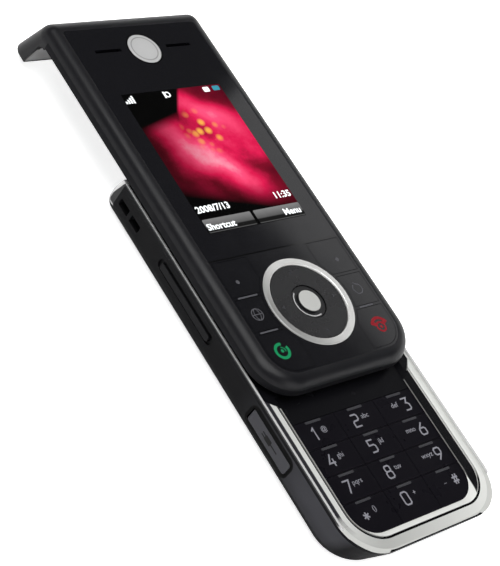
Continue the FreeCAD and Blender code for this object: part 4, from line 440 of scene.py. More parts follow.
def dress(tree, shader, shade, roughness, height=None, depth=0.0, metallic=None):
    """Gives a shader its colour and roughness, a bump with its depth in metres, and where it is metal."""
    tree.links.new(shade, shader.inputs["Base Color"])
    tree.links.new(roughness, shader.inputs["Roughness"])
    if height is not None:
        bump = node(tree, "Bump", Strength=1.0, Distance=depth)
        tree.links.new(height, bump.inputs["Height"])
        tree.links.new(bump.outputs["Normal"], shader.inputs["Normal"])
    if metallic is not None:
        tree.links.new(metallic, shader.inputs["Metallic"])


def plastic(name, colour_value, gloss, grain=9000.0, depth=0.004 * MM, tone=0.9, **shader_values):
    """Moulded plastic, lacquer or rubber; gloss is the range of roughness."""
    material, tree, shader, place = start_material(name, **shader_values)
    shade, roughness, height = surface_of(tree, "moulded_grain", place, gloss, Grain=grain, Tone_low=tone)
    dress(tree, shader, toned(tree, colour_value, shade), roughness, height, depth)
    return material


def metal(name, colour_value, gloss, stretch=(1, 1, 1), depth=0.001 * MM):
    """Metal with fine drawn lines; stretch squeezes the pattern along each axis."""
    material, tree, shader, place = start_material(name, metallic=1.0)
    drawn = mapped(tree, place, stretch=stretch)
    shade, roughness, height = surface_of(tree, "brushed_lines", drawn, gloss, Tone_low=0.92)
    dress(tree, shader, toned(tree, colour_value, shade), roughness, height, depth)
    return material


def ink(name, colour_value, glow=0.0):
    """Printed or lit mark with slow changes of tone."""
    material, tree, shader, place = start_material(name, specular=0.15)
    tone, roughness, _ = surface_of(tree, "moulded_grain", place, (0.4, 0.55), Grain=4000.0, Tone_low=0.85)
    shade = toned(tree, colour_value, tone)
    dress(tree, shader, shade, roughness)
    if glow:
        tree.links.new(shade, shader.inputs["Emission Color"])
        shader.inputs["Emission Strength"].default_value = glow
    return material


def speckled(name, colour_value, speck_colour, pitch, radius, gloss):
    """Surface with a regular pattern of dots, such as a mesh or solder pads.

    The radius of a dot is a share of the pitch.
    """
    material, tree, shader, place = start_material(name)
    tone, roughness, _ = surface_of(tree, "moulded_grain", place, gloss, Tone_low=0.85)
    dots = placed_group(tree, "dot_grid", place, Pitch=pitch, Radius=radius).outputs["Mask"]
    shade = mixed(tree, dots, toned(tree, colour_value, tone), speck_colour)
    dress(tree, shader, shade, roughness, dots, -0.05 * MM)
    return material


def two_tone_button(name, inside, outside, centre, radius):
    """Satin metal disc on a glossy black flange."""
    material, tree, shader, place = start_material(name)
    _, roughness, height = surface_of(tree, "moulded_grain", place, (0.28, 0.36), Grain=7000.0, Tone_low=0.94)
    flange = radial_mask(tree, place, centre, radius, 0.05 * MM)
    shade = mixed(tree, flange, inside, outside)
    dress(tree, shader, shade, roughness, height, 0.002 * MM, blended(tree, flange, 0.4, 0.0))
    return material


def keypad_frame_material(silver):
    """Satin silver frame; its bevel carries a painted dark reflection along the sides and a painted highlight
    at the lower end.
    """
    material, tree, shader, place = start_material("keypad_frame")
    tone, gloss, height = surface_of(tree, "moulded_grain", place, (0.36, 0.46), Grain=7000.0, Tone_low=0.93)
    reach, side = well_distance(tree, place)
    x, y, _ = axes(tree, place)
    left = falling(tree, x, -16.0 * MM, -12.0 * MM)
    right = rising(tree, x, 12.0 * MM, 16.0 * MM)
    # the bevel next to the well, painted dark as a dark reflection only where the frame runs straight
    on_bevel = falling(tree, reach, 1.4 * MM, 1.5 * MM)
    inner_edge = ranged(tree, reach, 0.1 * MM, 0.2 * MM, 0.8, 1.0)
    round_side = rising(tree, leaning(tree, side, reach, 0.3 / MM), 0.96, 1.0)
    bevel = maths(tree, "MULTIPLY", inner_edge, on_bevel, round_side)
    # painted shade of the fine groove outside the bevel, further out on the left and weaker along the right
    # side
    groove_start = blended(tree, left, 1.52 * MM, 1.74 * MM)
    groove_end = blended(tree, left, 2.08 * MM, 2.26 * MM)
    weaker = maths(tree, "MULTIPLY", right, ranged(tree, side, 0.9, 1.0, 0.0, 0.8))
    groove_shade = maths(
        tree, "MULTIPLY", maths(tree, "GREATER_THAN", reach, groove_start),
        maths(tree, "LESS_THAN", reach, groove_end), maths(tree, "SUBTRACT", 1.0, weaker),
    )
    # painted shade of the gap at the outer edge of the left side, which ends before the lower corner
    at_outer_edge = rising(tree, reach, 3.2 * MM, 3.35 * MM)
    above_corner = rising(tree, y, -45.0 * MM, -40.0 * MM)
    seam_shade = maths(tree, "MULTIPLY", at_outer_edge, above_corner, left)
    dark = maths(tree, "MAXIMUM", bevel, groove_shade, seam_shade)
    # painted light: lighter towards the right, and a painted highlight on the bevel
    tone = maths(tree, "MULTIPLY", tone, ranged(tree, x, -16.0 * MM, 16.0 * MM, 0.76, 1.24))
    painted_bevel_highlight = tuple(min(0.95, c * 1.55) for c in silver)
    shade = mixed(tree, on_bevel, toned(tree, silver, tone), painted_bevel_highlight)
    # painted dark reflection on the bevel and painted shade in the groove and seam, laid over the silver
    shade = mixed(tree, dark, shade, FRAME_SHADE_BLACK)
    metallic = maths(tree, "MAXIMUM", blended(tree, dark, 0.2, 0.0), seam_shade)
    dress(tree, shader, shade, blended(tree, dark, gloss, 0.12), height, 0.002 * MM, metallic)
    return material


def deck_material(black, silver):
    """Black deck; its narrow ledge outside the frame is silver round the lower end and up the right side, and
    stays black as painted shade along the straight left side.
    """
    material, tree, shader, place = start_material("deck", specular=0.07)
    tone, gloss, height = surface_of(tree, "moulded_grain", place, (0.2, 0.28), Grain=5000.0, Tone_low=0.92)
    reach, side = well_distance(tree, place)
    x, _, z = axes(tree, place)
    beyond_frame = rising(tree, reach, 4.0 * MM, 4.05 * MM)
    on_top = rising(tree, z, 9.98 * MM, 10.04 * MM)
    rim = maths(tree, "LESS_THAN", reach, ranged(tree, side, 0.2, 0.3, 4.5 * MM, 5.5 * MM))
    # painted shade: the ledge stays black along the straight left side
    straight = rising(tree, side, 0.975, 0.995)
    left_straight_shade = maths(tree, "MULTIPLY", straight, maths(tree, "LESS_THAN", x, 0.0))
    ledge = maths(tree, "MULTIPLY", beyond_frame, on_top, maths(tree, "SUBTRACT", rim, left_straight_shade))
    ledge = maths(tree, "MAXIMUM", ledge, 0.0)
    shade = mixed(tree, ledge, toned(tree, black, tone), silver)
    roughness = blended(tree, ledge, gloss, 0.4)
    dress(tree, shader, shade, roughness, height, 0.001 * MM, blended(tree, ledge, 0.0, 0.2))
    return material


def shell_material(black, grey):
    """Satin black shell; the inner face of its lip is pale round the liner."""
    material, tree, shader, place = start_material("slider_shell", specular=0.2)
    tone, roughness, height = surface_of(tree, "moulded_grain", place, (0.3, 0.38), Grain=8000.0)
    x, y, z = axes(tree, place)
    # the lip's inner face is a leaning plane, this far along its own direction
    along_lip = leaning(tree, maths(tree, "MULTIPLY", y, 0.957), z, 0.29)
    on_inner_face = falling(tree, apart(tree, along_lip, 89.28 * MM), 0.1 * MM, 0.15 * MM)
    between_sides = falling(tree, maths(tree, "ABSOLUTE", x), 23.2 * MM, 23.4 * MM)
    below_face = falling(tree, z, 8.2 * MM, 8.4 * MM)
    pale = maths(tree, "MULTIPLY", on_inner_face, between_sides, below_face)
    shade = mixed(tree, pale, toned(tree, black, tone), grey)
    dress(tree, shader, shade, roughness, height, 0.003 * MM)
    return material


def window_material(name, black, gloss, depth):
    """Glossy black face with a fine dark line painted as shade in the gap between the window and the key
    panel.
    """
    material, tree, shader, place = start_material(name, specular=0.4, coat=0.3, coat_roughness=0.05)
    tone, roughness, height = surface_of(tree, "moulded_grain", place, gloss, Grain=5000.0)
    _, y, _ = axes(tree, place)
    # painted shade: a fine dark line along the window's lower edge stands in for the shade in the gap
    joint_shade = falling(tree, apart(tree, y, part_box("display_lens")[0].y), 0.1 * MM, 0.2 * MM)
    shade = mixed(tree, joint_shade, toned(tree, black, tone), JOINT_SHADE_BLACK)
    dress(tree, shader, shade, blended(tree, joint_shade, roughness, 0.03), height, depth)
    return material


def ring_material(silver, gloss):
    """Polished ring with painted shade on its left side."""
    material, tree, shader, place = start_material("nav_ring", metallic=0.5)
    tone, roughness, height = surface_of(tree, "brushed_lines", place, gloss, Tone_low=0.92)
    x, y, _ = axes(tree, place)
    # painted shade: the ring's colour is darker towards its left side
    darker = ranged(tree, leaning(tree, x, y, 0.35), -9.0 * MM, 2.0 * MM, 0.42, 1.0)
    shade = toned(tree, silver, maths(tree, "MULTIPLY", darker, tone))
    dress(tree, shader, shade, roughness, height, 0.001 * MM)
    return material


def base_material(black, grey):
    """Textured shell with a painted sheen low on its left side, and painted shade in the gap round the
    socket's cover.
    """
    material, tree, shader, place = start_material("base_shell", specular=0.05)
    tone, roughness, height = surface_of(tree, "moulded_grain", place, (0.42, 0.55), Grain=7000.0)
    x, y, z = axes(tree, place)
    left = falling(tree, x, -23.5 * MM, -22.0 * MM)
    low_end = falling(tree, y, -32.0 * MM, -6.0 * MM)
    # painted sheen: lighter colour low on the left side, standing in for light falling there
    painted_sheen = maths(tree, "MULTIPLY", left, low_end, ranged(tree, z, 3.0 * MM, 6.0 * MM, 0.6, 1.0))
    shade = mixed(tree, painted_sheen, toned(tree, black, tone), grey)
    low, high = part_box("port_cover")
    cover_corner = 1.2 * MM
    # painted shade: a dark band round the socket's cover stands in for the shade in its recess
    cover_joint_shade = falling(tree, outside_box(tree, place, low, high, cover_corner), 0.75 * MM, 0.95 * MM)
    shade = mixed(tree, maths(tree, "MULTIPLY", left, cover_joint_shade), shade, JOINT_SHADE_BLACK)
    dress(tree, shader, shade, roughness, height, 0.012 * MM)
    return material


def badge_material(silver):
    """Satin disc turned on a lathe, with the painted shade of one fine cut near its edge."""
    material, tree, shader, place = start_material("badge", metallic=0.4)
    reach = reach_from(tree, place, (0, BADGE_Y))
    turned = node(tree, "CombineXYZ")
    tree.links.new(reach, turned.inputs["X"])
    tone, roughness, height = surface_of(tree, "brushed_lines", turned.outputs["Vector"], (0.28, 0.42))
    groove_radius = 3.55 * MM
    # painted shade: a dark ring where a fine groove near the edge would be shaded
    groove_shade = ranged(tree, apart(tree, reach, groove_radius), 0.1 * MM, 0.18 * MM, 0.6, 0.0)
    shade = mixed(tree, groove_shade, toned(tree, silver, tone), BADGE_GROOVE_SHADE)
    dress(tree, shader, shade, roughness, height, 0.002 * MM)
    return material


def trim_material(bright):
    """Polished strip; its outer side faces below the top are painted dark as shade, except near the end, so
    on its end cap only the outer edge is bright where it wraps round the sides.
    """
    material, tree, shader, place = start_material("chrome_trim")
    drawn = mapped(tree, place, stretch=(1, 0.1, 1))
    tone, gloss, height = surface_of(tree, "brushed_lines", drawn, (0.18, 0.28))
    x, y, z = axes(tree, place)
    _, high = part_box("chrome_trim")
    bright_edge = 0.9 * MM
    lean = ranged(tree, z, high.z - 5.0 * MM, high.z, 0.0, 1.4 * MM)
    from_end = maths(tree, "SUBTRACT", high.y, y, lean)
    # painted shade: the outer side faces below the top, away from the end, are painted dark
    beside = rising(tree, maths(tree, "ABSOLUTE", x), high.x - 0.1 * MM, high.x - 0.02 * MM)
    under = falling(tree, z, high.z - 0.1 * MM, high.z - 0.04 * MM)
    behind = rising(tree, from_end, bright_edge, bright_edge + 0.05 * MM)
    dark = maths(tree, "MULTIPLY", beside, under, behind)
    shade = mixed(tree, dark, toned(tree, bright, tone), TRIM_SHADE_BLACK)
    roughness = blended(tree, dark, gloss, 0.5)
    dress(tree, shader, shade, roughness, height, 0.001 * MM, blended(tree, dark, 0.4, 0.0))
    return material


def light_display(tree, shader, shade, strength, black, pattern):
    """Lets a black surface glow with a colour; its gloss follows a pattern."""
    tree.links.new(shade, shader.inputs["Emission Color"])
    shader.inputs["Emission Strength"].default_value = strength
    shader.inputs["Base Color"].default_value = (black, black, black, 1)
    tree.links.new(spread(tree, pattern, 0.3, 0.4), shader.inputs["Roughness"])


def display_picture_material():
    """Lit picture: rosy folds of light with round yellow glints, dark in the upper left corner."""
    material, tree, shader, place = start_material("display_picture", specular=0.01)
    centred = mapped(tree, place, (0, -DISPLAY_Y, 0))
    x, y, _ = axes(tree, centred)
    # broad folds with clouds and veins in them, brightest at the heart
    folds = node(
        tree, "TexWave", BANDS_DIRECTION="DIAGONAL", Scale=26.0, Distortion=5.0, Detail=2.0, Detail_Scale=1.4
    )
    tree.links.new(centred, folds.inputs["Vector"])
    cloud = noise(tree, centred, 90.0, detail=3.0, rough=0.6)
    veins = noise(tree, centred, 420.0, detail=5.0, rough=0.7)
    level = maths(
        tree, "ADD", maths(tree, "MULTIPLY", folds.outputs["Fac"], 0.38),
        maths(tree, "MULTIPLY", cloud, 0.42), maths(tree, "MULTIPLY", veins, 0.2),
    )
    off_heart = radial_mask(tree, centred, (1.0 * MM, 2.5 * MM), 12.0 * MM, 10.0 * MM)
    lit = maths(tree, "MULTIPLY", level, maths(tree, "SUBTRACT", 1.25, off_heart))
    ramp = node(tree, "ValToRGB")
    tree.links.new(lit, ramp.inputs["Fac"])
    stops = ramp.color_ramp.elements
    stops.remove(stops[1])
    stops[0].position, stops[0].color = ROSY_STOPS[0]
    for position, value in ROSY_STOPS[1:]:
        stops.new(position).color = value
    # round yellow glints in one cluster above the middle
    cells = node(tree, "TexVoronoi", Scale=330.0, Randomness=0.9)
    tree.links.new(centred, cells.inputs["Vector"])
    glint = falling(tree, cells.outputs["Distance"], 0.16, 0.42)
    off_cluster = radial_mask(tree, centred, (2.5 * MM, 7.5 * MM), 5.0 * MM, 2.5 * MM)
    glint = maths(tree, "MULTIPLY", glint, maths(tree, "SUBTRACT", 1.0, off_cluster), 0.8)
    spotted = mixed(tree, glint, ramp.outputs["Color"], GLINT_YELLOW)
    # black beyond two leaning edges in the upper left corner, and darker at the foot and to the left
    right_part = rising(tree, leaning(tree, x, y, -0.64), -11.4 * MM, -10.5 * MM)
    low_part = falling(tree, leaning(tree, y, x, -0.26), 11.5 * MM, 14.5 * MM)
    above_foot = rising(tree, leaning(tree, y, x, 0.3), -14.5 * MM, -7.5 * MM)
    dimmed = ranged(tree, x, -15.0 * MM, 1.0 * MM, 0.25, 1.0)
    shade = maths(tree, "MULTIPLY", maths(tree, "MAXIMUM", right_part, low_part), above_foot, dimmed)
    picture = mixed(tree, shade, UNLIT, spotted)
    light_display(tree, shader, picture, strength=1.1, black=0.001, pattern=cloud)
    return material


def softkey_bar_material():
    """Pale bar with a dark lower half and a fine foot line, under the two labels of the display."""
    material, tree, shader, place = start_material("softkey_bar", specular=0.01)
    _, y, _ = axes(tree, place)
    foot = DISPLAY_Y - 20.4 * MM
    upper = ranged(tree, y, foot + 1.5 * MM, foot + 3.7 * MM, 0.1, 0.24)
    lower_half = ranged(tree, y, foot + 1.3 * MM, foot + 1.6 * MM, 0.08, 1.0)
    line = ranged(tree, y, foot + 0.3 * MM, foot + 0.45 * MM, 0.09, 0.0)
    fade = maths(tree, "MAXIMUM", maths(tree, "MULTIPLY", upper, lower_half), line)
    grain = noise(tree, place, 500.0)
    shade = maths(tree, "MULTIPLY", fade, spread(tree, grain, 0.9, 1.0))
    light_display(tree, shader, shade, strength=1.0, black=0.002, pattern=grain)
    return material


# ---------------------------------------------------------------------------------------------------------
# Mesh helpers
# ---------------------------------------------------------------------------------------------------------

# Points nearer than this are one point.
MERGE = 1e-7
# Height of a capital letter as a share of the size of the font.
CAPITAL = 0.72


def linked_object(name, bm, material):
    """Object in the scene from a bmesh, which is used up."""
    mesh = bpy.data.meshes.new(name)
    bm.to_mesh(mesh)
    bm.free()
    mesh.materials.append(material)
    piece = bpy.data.objects.new(name, mesh)
    bpy.context.scene.collection.objects.link(piece)
    return piece


def add_piece(name, bm, body, material):
    """Object at the origin from a finished bmesh, riding on a body."""
    bmesh.ops.remove_doubles(bm, verts=bm.verts, dist=MERGE)
    bmesh.ops.recalc_face_normals(bm, faces=bm.faces)
    piece = linked_object(name, bm, material)
    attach(piece, body)


def at(x, y, z):
    """Move to a place."""
    return Matrix.Translation((x, y, z))


def add_bar(bm, foot, size, corner=0.0, turn=0.0):
    """Flat bar with rounded plan corners, standing on the middle of its lower face."""
    middle = at(foot[0], foot[1], foot[2] + size[2] / 2)
    stretch = Matrix.Diagonal((*size, 1.0))
    made = bmesh.ops.create_cube(bm, size=1.0, matrix=middle @ Matrix.Rotation(turn, 4, "Z") @ stretch)
    if corner:
        upright = [
            e for e in {e for v in made["verts"] for e in v.link_edges}
            if abs(e.verts[0].co.z - e.verts[1].co.z) > size[2] / 2
        ]
        bmesh.ops.bevel(
            bm, geom=upright, offset=corner, segments=4, profile=0.5, affect="EDGES", material=-1,
            offset_type="OFFSET",
        )


def add_disc(bm, foot, radius, height):
    """Flat round disc standing on the middle of its lower face."""
    bmesh.ops.create_cone(
        bm, cap_ends=True, segments=20, radius1=radius, radius2=radius, depth=height,
        matrix=at(foot[0], foot[1], foot[2] + height / 2),
    )


def add_arc(bm, foot, radius, width, height, start=0.0, sweep=math.tau, steps=32):
    """Flat band along an arc, from its square section spun about the middle."""
    whole = sweep == math.tau
    inner, outer = radius - width / 2, radius + width / 2
    turned = at(*foot) @ Matrix.Rotation(start, 4, "Z")
    corners = ((inner, 0, 0), (outer, 0, 0), (outer, 0, height), (inner, 0, height))
    verts = [bm.verts.new(turned @ Vector(corner)) for corner in corners]
    section = bm.faces.new(verts)
    bmesh.ops.spin(
        bm, geom=[section, *section.edges, *verts], cent=foot, axis=(0, 0, 1), dvec=(0, 0, 0),
        angle=sweep, steps=steps, use_merge=whole, use_duplicate=False,
    )
    if whole:
        # the section that the spin started from is still inside the ring
        bmesh.ops.remove_doubles(bm, verts=bm.verts, dist=MERGE)
        inside = [f for f in bm.faces if all(len(e.link_faces) > 2 for e in f.edges)]
        bmesh.ops.delete(bm, geom=inside, context="FACES")


def add_words(bm, words, height, depth, foot, align="CENTER", weight=0.0):
    """Flat lettering as a mesh, its lower face at the given place."""
    curve = bpy.data.curves.new("words", "FONT")
    curve.body = words
    curve.size = height / CAPITAL
    curve.extrude = depth / 2
    curve.offset = weight
    curve.align_x = align
    curve.align_y = "CENTER"
    curve.resolution_u = 3
    holder = bpy.data.objects.new("words", curve)
    bpy.context.scene.collection.objects.link(holder)
    shape = holder.evaluated_get(bpy.context.evaluated_depsgraph_get())
    mesh = bpy.data.meshes.new_from_object(shape)
    mesh.transform(at(foot[0], foot[1], foot[2] + depth / 2))
    bm.from_mesh(mesh)
    bpy.data.objects.remove(holder)
    bpy.data.curves.remove(curve)
    bpy.data.meshes.remove(mesh)


def stepped(depth, index):
    """Depth of the next mark laid over others, a little more for each."""
    return depth * (1 + 0.1 * index)


def mitred_rails(line, width, closed):
    """Left and right edge points of a flat ribbon along a line of points."""
    count = len(line)
    rails = []
    for index, point in enumerate(line):
        before = line[index - 1] if closed or index else None
        after = line[(index + 1) % count] if closed or index < count - 1 else None
        into = (after - point).normalized() if before is None else (point - before).normalized()
        out = into if after is None else (after - point).normalized()
        normal = Vector((-into.y - out.y, into.x + out.x)).normalized()
        half = width / 2 / max(0.5, normal.dot(Vector((-into.y, into.x))))
        rails.append((point + normal * half, point - normal * half))
    return rails


def add_ribbon(bm, points, width, depth, foot, closed=False):
    """Flat ribbon of even width along a line of points, mitred at its bends and raised by its depth."""
    rows = []
    for rail in mitred_rails([Vector(point) for point in points], width, closed):
        rows.append([bm.verts.new((foot[0] + edge.x, foot[1] + edge.y, foot[2])) for edge in rail])
    following = rows[1:] + rows[:1] if closed else rows[1:]
    strip = [bm.faces.new((*row, *reversed(after))) for row, after in zip(rows, following)]
    grown = bmesh.ops.extrude_face_region(bm, geom=strip)["geom"]
    upper = [item for item in grown if isinstance(item, bmesh.types.BMVert)]
    bmesh.ops.translate(bm, vec=(0, 0, depth), verts=upper)


def finish_nodes(material, *names):
    """Gives CAD nodes their material."""
    for name in names:
        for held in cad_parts[name].material_slots:
            held.material = material


# ---------------------------------------------------------------------------------------------------------
# Finishes of the CAD nodes
# ---------------------------------------------------------------------------------------------------------


class PHONE_OT_shader_groups(bpy.types.Operator):
    """Builds the node groups that the materials share"""

    bl_idname = "phone.shader_groups"
    bl_label = "Shader groups"

    def execute(self, context):
        moulded_grain()
        brushed_lines()
        dot_grid()
        channel_distance()
        return {"FINISHED"}


class PHONE_OT_base_finishes(bpy.types.Operator):
    """Finishes the shells, trim, side features and number keys of the base"""

    bl_idname = "phone.base_finishes"
    bl_label = "Base finishes"

    def execute(self, context):
        colours = settings()[0]
        finish_nodes(base_material(colours.base, colours.base_side_sheen), "rear_housing")
        cover = plastic(
            "battery_cover", colours.cover, (0.45, 0.58), grain=6000.0, depth=0.014 * MM, specular=0.05
        )
        finish_nodes(cover, "battery_cover")
        finish_nodes(deck_material(colours.deck, colours.silver), "front_deck")
        finish_nodes(keypad_frame_material(colours.silver), "keypad_frame")
        finish_nodes(trim_material(colours.trim), "chrome_trim")
        rubber = plastic(
            "port_rubber", colours.port, (0.5, 0.62), grain=5000.0, depth=0.02 * MM, specular=0.12
        )
        finish_nodes(rubber, "port_cover")
        side_keys = plastic(
            "side_keys", colours.side_keys, (0.3, 0.4), grain=7000.0, depth=0.005 * MM, specular=0.09
        )
        finish_nodes(side_keys, "volume_rocker", "camera_key")
        glass = plastic("camera_window", colours.camera_glass, (0.04, 0.08), depth=0.0, coat=1.0)
        finish_nodes(glass, "camera_window")
        keys = plastic(
            "number_keys", colours.keypad, (0.26, 0.36), grain=6000.0, depth=0.003 * MM, specular=0.05
        )
        finish_nodes(keys, *(key for row in KEY_LEGENDS for key, _, _ in row))
        return {"FINISHED"}


class PHONE_OT_slider_finishes(bpy.types.Operator):
    """Finishes the shells, window, keys and ring of the slider"""

    bl_idname = "phone.slider_finishes"
    bl_label = "Slider finishes"

    def execute(self, context):
        colours = settings()[0]
        finish_nodes(shell_material(colours.slider, colours.lip), "front_housing")
        back = plastic(
            "slider_back", colours.slider_back, (0.5, 0.62), grain=3500.0, depth=0.02 * MM, specular=0.06
        )
        finish_nodes(back, "slider_rear_cover")
        liner = plastic("lip_liner", colours.liner, (0.3, 0.4), grain=7000.0, depth=0.003 * MM, tone=0.7)
        finish_nodes(liner, "lip_liner")
        finish_nodes(window_material("window", colours.window, (0.06, 0.1), 0.0004 * MM), "display_lens")
        face = window_material("face_keys", colours.window, (0.08, 0.12), 0.0005 * MM)
        finish_nodes(face, "key_panel", "send_key", "end_key", "browser_key", "shortcut_key")
        finish_nodes(face, "soft_key_left", "soft_key_right")
        pad = plastic("nav_pad", colours.nav_pad, (0.24, 0.32), grain=7000.0, depth=0.002 * MM)
        finish_nodes(pad, "nav_pad")
        finish_nodes(ring_material(colours.ring, (0.34, 0.44)), "nav_trim_ring")
        finish_nodes(badge_material(colours.badge), "badge_disc")
        select = two_tone_button("select_key", colours.select, colours.flange, (0, NAV_Y), 2.8 * MM)
        finish_nodes(select, "select_key")
        return {"FINISHED"}


class PHONE_OT_inner_finishes(bpy.types.Operator):
    """Finishes the pieces inside the phone"""

    bl_idname = "phone.inner_finishes"
    bl_label = "Inner finishes"

    def execute(self, context):
        steel = metal(
            "stamped_steel", (0.5, 0.51, 0.52), (0.28, 0.4), stretch=(1, 0.05, 1), depth=0.002 * MM
        )
        finish_nodes(steel, "slide_fixed_plate", "slide_moving_plate", "sim_holder", "usb_socket")
        bright = metal("bright_steel", (0.68, 0.68, 0.69), (0.16, 0.26))
        finish_nodes(bright, "slide_springs", "keypad_domes", "slider_domes")
        finish_nodes(bright, "side_switches", "vibration_motor")
        dark = metal("blackened_screws", (0.12, 0.12, 0.125), (0.3, 0.42))
        finish_nodes(dark, "housing_screws", "slider_screws")
        gold = metal("gold_plate", (0.83, 0.62, 0.25), (0.15, 0.25))
        finish_nodes(gold, "battery_contacts", "antenna")
        green, gold_pad = (0.012, 0.09, 0.04), (0.6, 0.45, 0.2)
        board = speckled("circuit_board", green, gold_pad, pitch=1.6 * MM, radius=0.2, gloss=(0.3, 0.45))
        finish_nodes(board, "main_board", "slider_board")
        wire, hole = (0.05, 0.05, 0.052), (0.002, 0.002, 0.002)
        mesh = speckled("loudspeaker_mesh", wire, hole, pitch=0.7 * MM, radius=0.3, gloss=(0.35, 0.5))
        finish_nodes(mesh, "loudspeaker", "earpiece")
        finish_nodes(plastic("battery_wrap", (0.42, 0.43, 0.45), (0.35, 0.45), grain=5000.0), "battery")
        film = plastic("ribbon_film", (0.36, 0.14, 0.03), (0.18, 0.26), grain=3000.0, depth=0.002 * MM)
        finish_nodes(film, "flex_ribbon")
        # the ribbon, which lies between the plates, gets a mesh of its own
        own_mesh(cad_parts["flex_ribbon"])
        black = plastic("camera_black", (0.012, 0.012, 0.013), (0.4, 0.55))
        finish_nodes(black, "camera_module", "microphone")
        finish_nodes(plastic("nav_carrier", (0.2, 0.2, 0.2), (0.4, 0.5)), "nav_carrier")
        finish_nodes(plastic("display_stack", (0.02, 0.02, 0.022), (0.1, 0.2), coat=0.5), "display_module")
        return {"FINISHED"}


# ---------------------------------------------------------------------------------------------------------
# Printed legends
# ---------------------------------------------------------------------------------------------------------

# Middle of the digit, of the letters and of the dash across each column of keys.
KEY_COLUMNS = (
    (-14.45 * MM, -11.35 * MM, -13.0 * MM),
    (-1.55 * MM, 1.6 * MM, 0.05 * MM),
    (15.05 * MM, 11.5 * MM, 13.0 * MM),
)
# How far the digit's middle and the dash lie below a key's upper edge.
DIGIT_DROP = 3.35 * MM
DASH_DROP = 0.42 * MM
# How far the letters' middle lies above the digit's, and how much their outline is thickened.
LETTER_RISE = 0.55 * MM
LETTER_WEIGHT = 0.004 * MM
DASH_HEIGHT = 0.12 * MM
# Strokes of each sign on a field one high and this wide; a line that ends where it starts is a loop.
SIGN_WIDTH = 0.62
SIGNS = {
    "0": [[(.12, 0), (.5, 0), (.62, .12), (.62, .88), (.5, 1), (.12, 1), (0, .88), (0, .12), (.12, 0)]],
    "1": [[(.18, .78), (.4, 1), (.4, 0)]],
    "2": [[(.02, 1), (.5, 1), (.62, .88), (.62, .62), (.5, .5), (.12, .48), (0, .36), (0, 0), (.62, 0)]],
    "3": [[(.02, 1), (.6, 1), (.34, .6), (.5, .56), (.62, .44), (.62, .12), (.5, 0), (.02, 0)]],
    "4": [[(.4, 1), (0, .3), (.62, .3)], [(.45, .62), (.45, 0)]],
    "5": [[(.58, 1), (.04, 1), (.04, .58), (.5, .58), (.62, .46), (.62, .12), (.5, 0), (.02, 0)]],
    "6": [[
        (.5, 1), (.08, .56), (0, .4), (0, .12), (.12, 0), (.5, 0),
        (.62, .12), (.62, .44), (.5, .56), (.16, .56),
    ]],
    "7": [[(0, 1), (.62, 1), (.24, 0)]],
    "8": [
        [(.12, 0), (.5, 0), (.62, .12), (.62, .42), (.5, .54), (.12, .54), (0, .42), (0, .12), (.12, 0)],
        [
            (.14, .54), (.48, .54), (.57, .64), (.57, .9), (.48, 1),
            (.14, 1), (.05, .9), (.05, .64), (.14, .54),
        ],
    ],
    "9": [[
        (.12, 0), (.54, .44), (.62, .6), (.62, .88), (.5, 1), (.12, 1),
        (0, .88), (0, .56), (.12, .44), (.46, .44),
    ]],
    "*": [[(.31, .05), (.31, .65)], [(.05, .2), (.57, .5)], [(.05, .5), (.57, .2)]],
    "#": [[(.14, .1), (.26, .9)], [(.38, .1), (.5, .9)], [(0, .66), (.62, .66)], [(0, .34), (.62, .34)]],
}
KEY_LEGENDS = (
    (("key_1", "1", "@"), ("key_2", "2", "abc"), ("key_3", "3", "def")),
    (("key_4", "4", "ghi"), ("key_5", "5", "jkl"), ("key_6", "6", "mno")),
    (("key_7", "7", "pqrs"), ("key_8", "8", "tuv"), ("key_9", "9", "wxyz")),
    (("key_star", "*", "()"), ("key_0", "0", "+"), ("key_hash", "#", "_")),
)
# Left end, right end and height of each dash beside the navigation key, in millimetres.
PANEL_DASHES = ((-18.6, -12.8, 11.35), (-18.5, -13.2, 2.05), (12.9, 17.3, 2.05))
# Middle of each sign beside the navigation key.
SOFT_DOTS = (("soft_key_left", -15.9 * MM), ("soft_key_right", 15.6 * MM))
SOFT_DOT_Y = 15.35 * MM
SEND_PLACE = (-15.65 * MM, -3.25 * MM)
END_PLACE = (15.45 * MM, -3.25 * MM)
GLOBE_PLACE = (-16.1 * MM, 6.6 * MM)
SHORTCUT_PLACE = (15.9 * MM, 6.8 * MM)
POINTER_REACH = 7.9 * MM
POINTER_RADIUS = 0.62 * MM


class PHONE_OT_number_legends(bpy.types.Operator):
    """Prints the digit and the small letters on each number key"""

    bl_idname = "phone.number_legends"
    bl_label = "Number legends"

    def execute(self, context):
        colours, sizes, _ = settings()
        print_colour = ink("key_print", colours.legend)
        for row in KEY_LEGENDS:
            for column, (key, digit, letters) in enumerate(row):
                digit_x, letters_x, _ = KEY_COLUMNS[column]
                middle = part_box(key)[1].y - DIGIT_DROP
                bm = bmesh.new()
                corner = (digit_x - SIGN_WIDTH / 2 * sizes.digit, middle - sizes.digit / 2, KEY_TOP)
                for index, line in enumerate(SIGNS[digit]):
                    closed = line[0] == line[-1]
                    points = [(x * sizes.digit, y * sizes.digit) for x, y in (line[:-1] if closed else line)]
                    add_ribbon(bm, points, sizes.stroke, stepped(sizes.ink, index), corner, closed)
                place = (letters_x, middle + LETTER_RISE, KEY_TOP)
                add_words(bm, letters, sizes.letter, sizes.ink, place, weight=LETTER_WEIGHT)
                add_piece("legend_" + key, bm, key, print_colour)
        return {"FINISHED"}


